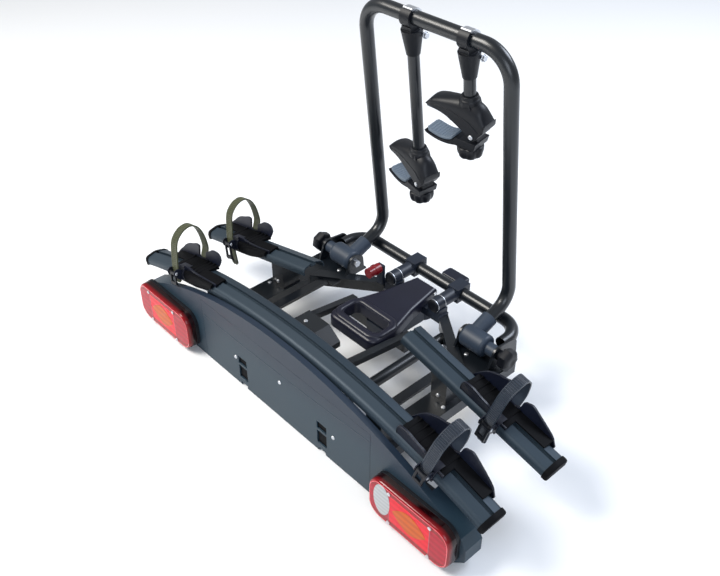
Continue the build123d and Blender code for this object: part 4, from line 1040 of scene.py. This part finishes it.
@dataclass
class Lamp:
    """A tail lamp: a deep red lens with an amber turn signal and, on one side, a reverse light."""

    side: str
    way: int
    kind: Lens
    inner: float = 306.0
    outer: float = 518.0
    low: float = -87.0
    high: float = 18.0
    corner: float = 34.0
    splits: Pair = (364.0, 469.0)
    margin: float = 7.0
    seam_half: float = 0.6
    signal_place: Pair = (417.0, -35.0)
    signal_half: Pair = (44.0, 27.0)
    reverse_place: Pair = (344.0, -29.0)
    reverse_stretch: float = 1.86
    reverse_dome: Outline = ((22, -1.5), (22, 0.2), (21.2, 0.7), (19, 0.8), (14, 1.1), (7, 1.3), (1, 1.35))

    def add(self, shape: Shape, label: str, finish: Finish, crease: float = 35.0) -> bpy.types.Object:
        """Makes one of the lamp's own pieces."""
        return shape.piece(f"{self.side}_{label}", finish, "platform", "lens_red", crease=crease)

    def outline(self, inset: float, count: int) -> list[Pair]:
        """Gives the lamp's rounded outline.

        Args:
            inset: How far it is drawn in.
            count: Points round each corner.

        Returns:
            Its points, as x and z.
        """
        r, corner, points = self.corner - inset, self.corner, []
        for cx, cz, start in ((self.outer - corner, self.high - corner, 0),
                              (self.inner + corner, self.high - corner, 90),
                              (self.inner + corner, self.low + corner, 180),
                              (self.outer - corner, self.low + corner, 270)):
            for a in steps(math.radians(start), math.radians(start + 90), count):
                points.append((self.way * (cx + r * math.cos(a)), cz + r * math.sin(a)))
        return points

    def rings(self, levels: Outline, count: int = 10) -> list[list[Vector]]:
        """Gives the outline at each of the levels, which are pairs of inset and y."""
        return [[Vector((x, y, z)) for x, z in self.outline(inset, count)] for inset, y in levels]

    def build(self) -> None:
        """Builds the lens, its coloured windows, its rim with a painted highlight and its seams."""
        low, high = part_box(f"{self.side}_lamp_lens")
        front, back = low.y / METRES, high.y / METRES
        # The shell's colour paints a glow at its front fading into shade behind
        shell = self.rings(((0.4, back), (0.4, back - 1.5), (1.0, front + 7), (1.8, front + 3.2),
                            (3.4, front + 1.2), (5.4, front + 0.35), (7.0, front + 0.3)))
        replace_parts(self.add(Shape().loft(shell), "lens_shell", SHELL_LENS, 60), f"{self.side}_lamp_lens")
        self.windows(front)
        self.signal(front)
        # The bead round the lens's face is painted pale pink: a painted highlight along the lens's upper
        # edge
        bead = self.rings(((4.6, front + 1.1), (4.9, front + 0.1), (5.9, front - 0.1), (6.8, front + 0.3),
                           (6.8, front + 1.2), (4.6, front + 1.1)), 14)
        self.add(Shape().loft(bead, caps=False), "lens_rim_painted_highlight", HIGHLIGHT_RIM_LENS, 60)
        if self.kind is Lens.REVERSE:
            x, z = self.reverse_place
            seat = seat_along((self.way * x, front + 0.2, z), REARWARDS)
            wide = Seat(seat.origin, seat.x * self.reverse_stretch, seat.y, seat.z)
            self.add(Shape().turned(wide, self.reverse_dome, 64), "reverse_light", CLEAR_LENS, 50)
        seams = Shape()
        ridge = ((-0.8, front + 1), (-0.6, front - 0.05), (0.6, front - 0.05), (0.8, front + 1))
        for x in self.splits:
            seams.loft([[Vector((self.way * x + dx, y, z)) for dx, y in ridge]
                        for z in steps(self.low + 9, self.high - 9, 3)])
        self.add(seams, "lens_seams", SEAM_LENS)

    def windows(self, front: float) -> None:
        """Lays three thin coloured windows, which follow the lens's own outline, on its face.

        Args:
            front: The y of the face.
        """
        (first, second), gap = self.splits, self.seam_half
        mid, half = (self.high + self.low) / 2, (self.high - self.low) / 2 - self.margin
        thirds = (
            ("inner_lens", ROSE_LENS, self.inner + self.margin, first - gap),
            ("middle_lens", RED_LENS, first + gap, second - gap),
            ("outer_lens", ROSE_LENS, second + gap, self.outer - self.margin),
        )
        for label, finish, start, end in thirds:
            rings = []
            for x in steps(start, end, 14):
                into = max(0.0, x - (self.outer - self.corner), self.inner + self.corner - x)
                drop = self.corner - math.sqrt(max(self.corner**2 - into**2, 1)) if into else 0.0
                column = [Vector((self.way * x, front + 0.15 + 0.5 * abs(s) ** 6, mid + s * (half - drop)))
                          for s in steps(-1, 1, 9)]
                rings.append(column + [v + Vector((0, 2, 0)) for v in reversed(column)])
            self.add(Shape().loft(rings), label, finish, 60)

    def signal(self, front: float) -> None:
        """Builds the pointed oval of the turn signal.

        Args:
            front: The y of the lens's face.
        """
        (x, mid), (half_x, half_z), rings = self.signal_place, self.signal_half, []
        for s in steps(-0.985, 0.985, 33):
            z = half_z * (1 - abs(s) ** 1.8)
            levels = ((0.5, -z), (-0.1, -z), (-0.7 * min(1, z / 10), 0), (-0.1, z), (0.5, z))
            rings.append([Vector((self.way * x + half_x * s, front + dy, mid + dz)) for dy, dz in levels])
        self.add(Shape().loft(rings), "turn_signal", AMBER_LENS, 50)


@dataclass
class BoardTrim:
    """Painted shade at the bottoms of the panel's slots, its screws and the crease above it.

    The crease climbs by its rise over a metre and bows up towards both ends.
    """

    face: float = -430.0
    bottom: float = -426.2
    slot_x: float = 135.0
    slot_half: float = 14.9
    rows: tuple[Pair, ...] = ((-67.9, -32.1), (-25.9, -6.1))
    screws: tuple[Pair, ...] = ((-160.0, -16.0), (171.0, -17.0), (0.0, 17.0))
    screw_head: Outline = ((4.6, 0), (4.4, 1.0), (3.2, 2.0), (1.7, 2.3), (1.4, 1.1))
    crease_half: float = 276.0
    crease_z: float = 41.0
    crease_rise: float = 34.0
    crease_bow: float = 6.0
    crease_span: float = 280.0
    crease_section: Outline = ((-2.4, 0.2), (-0.5, -0.45), (0.5, -0.45), (2.4, 0.2))

    def build(self) -> None:
        """Builds the painted shade at the slots' bottoms, the screws and the crease."""
        dark, heads, half = Shape(), Shape(), self.slot_half
        for side in (-1, 1):
            seat = seat_along((side * self.slot_x, self.bottom, 0), REARWARDS)
            for low, high in self.rows:
                dark.prism(seat, ((low, -half), (high, -half), (high, half), (low, half)), 0, 0.3)
        # Near-black sheets at the slots' bottoms: painted shade inside the recesses
        dark.piece("panel_slot_painted_shade", BLACK_AND_PAINTED_SHADE, "platform")
        for x, z in self.screws:
            heads.turned(seat_along((x, self.face + 0.1, z), REARWARDS), self.screw_head, 24)
        heads.piece("panel_screw_heads", ZINC, "platform", "plated_steel", crease=40)
        rings = []
        for x in steps(-self.crease_half, self.crease_half, 40):
            bow = self.crease_bow * (x / self.crease_span) ** 2
            z = self.crease_z + (x * METRES) * self.crease_rise + bow
            rings.append([Vector((x, self.face + dy, z + dz)) for dz, dy in self.crease_section])
        Shape().loft(rings).piece("panel_crease", BOARD, "platform", "board_plastic", crease=60)


@dataclass
class CouplingTrim:
    """The lever's rounded rim, the closed ends of the clamp sleeves and the frame's bolts."""

    lever_top: float = 55.0
    rim_half: Pair = (65.0, 36.0)
    rim_y: float = -180.0
    rim_corner: float = 22.0
    rim_section: Outline = (
        (-8, -1), (-8, 0.1), (-5.8, 2.3), (-3, 3.4), (0, 3.8), (3, 3.4), (5.8, 2.3), (8, 0.1), (8, -1))
    sleeve_x: float = 70.0
    sleeve_z: float = 52.0
    sleeve_end: float = -36.0
    sleeve_r: float = 16.0
    ring_places: Pair = (-2.6, -26.0)
    bracket_bolt: Point = (-30.0, -328.0, 110.0)
    side_bolts: tuple[tuple[Point, Point, float], ...] = (
        ((210.2, -74.6, 20.0), UPWARDS, 5.0),
        ((263.6, -223.0, 33.2), REARWARDS, 4.5),
        ((286.7, -231.5, 20.0), UPWARDS, 4.5),
    )

    def rim(self) -> None:
        """Lays the rounded rim round the lever's hand hole."""
        half_x, half_y, corner, rings = *self.rim_half, self.rim_corner, []
        for cx, cy, start in ((1, 1, 0), (-1, 1, 90), (-1, -1, 180), (1, -1, 270)):
            middle = Vector((cx * (half_x - corner), self.rim_y + cy * (half_y - corner), self.lever_top))
            for a in steps(math.radians(start), math.radians(start + 90), 9):
                out = Vector((math.cos(a), math.sin(a), 0))
                rings.append([middle + out * (corner + d) + Vector((0, 0, h)) for d, h in self.rim_section])
        bead = Shape().loft(rings + [rings[0]], caps=False)
        bead.piece("lever_grip_rim", LEVER_NYLON, "lever", crease=50)

    def sleeves(self) -> None:
        """Closes the sleeves with domed plugs and bright snap rings."""
        plugs, rings, r = Shape(), Shape(), self.sleeve_r
        for side in (-1, 1):
            seat = seat_along((side * self.sleeve_x, self.sleeve_end, self.sleeve_z), REARWARDS)
            plugs.turned(seat, ((11.8, -6), (11.8, 0), (r - 0.4, 0), (r - 0.6, 1.8), (12.5, 3.4), (6, 4.2),
                                (1, 4.4)), 40)
            for z in self.ring_places:
                rings.turned(seat, ((r - 0.5, z - 0.8), (r + 0.6, z - 0.7), (r + 0.6, z + 0.7),
                                    (r - 0.5, z + 0.8)), 48)
        plugs.piece("sleeve_plugs", NYLON, "platform", bevel=0.5)
        rings.piece("sleeve_snap_rings", ZINC, "platform", "plated_steel")

    def bolts(self) -> None:
        """Adds the bolts of the centre bracket, the foot plates and the rail posts."""
        heads, places = Shape(), [(self.bracket_bolt, UPWARDS, 4.5)]
        for side in (-1, 1):
            places += [((side * x, y, z), way, r) for (x, y, z), way, r in self.side_bolts]
        for place, way, r in places:
            dome = ((r, 0), (r, 1.6), (r * 0.8, 2.6), (r * 0.3, 2.9))
            heads.turned(seat_along(place, way, (1, 0, 0)), dome, 28)
        heads.piece("frame_bolt_heads", ZINC, "platform", "plated_steel", crease=40)

    def build(self) -> None:
        """Builds the trim."""
        self.rim()
        self.sleeves()
        self.bolts()


def dress_nodes(frame: dict[str, Any]) -> None:
    """Gives every carried-over CAD node its own finish, or else the finish of its slot.
    """
    slots = {part["node"]: part["material_slot"] for part in frame["record"]["subparts"]}
    for name, node in frame["nodes"].items():
        node.data.materials.clear()
        node.data.materials.append(NODE_FINISHES.get(name, SLOT_FINISHES[slots[name]]).material())


def main() -> None:
    """Builds the whole carrier."""
    logging.basicConfig(level=logging.INFO, format="%(message)s")
    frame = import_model()
    studio = Studio()
    studio.camera()
    studio.lights()
    studio.floor()
    dress_nodes(frame)
    sub_assemblies = (
        WheelHolder("right_rear", REAR_RAIL, x=416, tail=26, lever_drop=28),
        WheelHolder("left_rear", REAR_RAIL, x=-384, tail=26, lever_drop=28),
        WheelHolder("right_front", FRONT_RAIL, x=409, tail=60, lever_drop=42),
        WheelHolder("left_front", FRONT_RAIL, x=-428, tail=60, lever_drop=42),
        RailCaps(),
        FrameClamp("long", x=-59, drop=312, swivel=-12),
        FrameClamp("short", x=92, drop=127, swivel=5),
        PivotKnob("right", 1),
        PivotKnob("left", -1),
        Lamp("right", 1, Lens.REVERSE),
        Lamp("left", -1, Lens.FOG),
        BoardTrim(),
        CouplingTrim(),
    )
    for sub_assembly in sub_assemblies:
        sub_assembly.build()


if __name__ == "__main__":
    main()
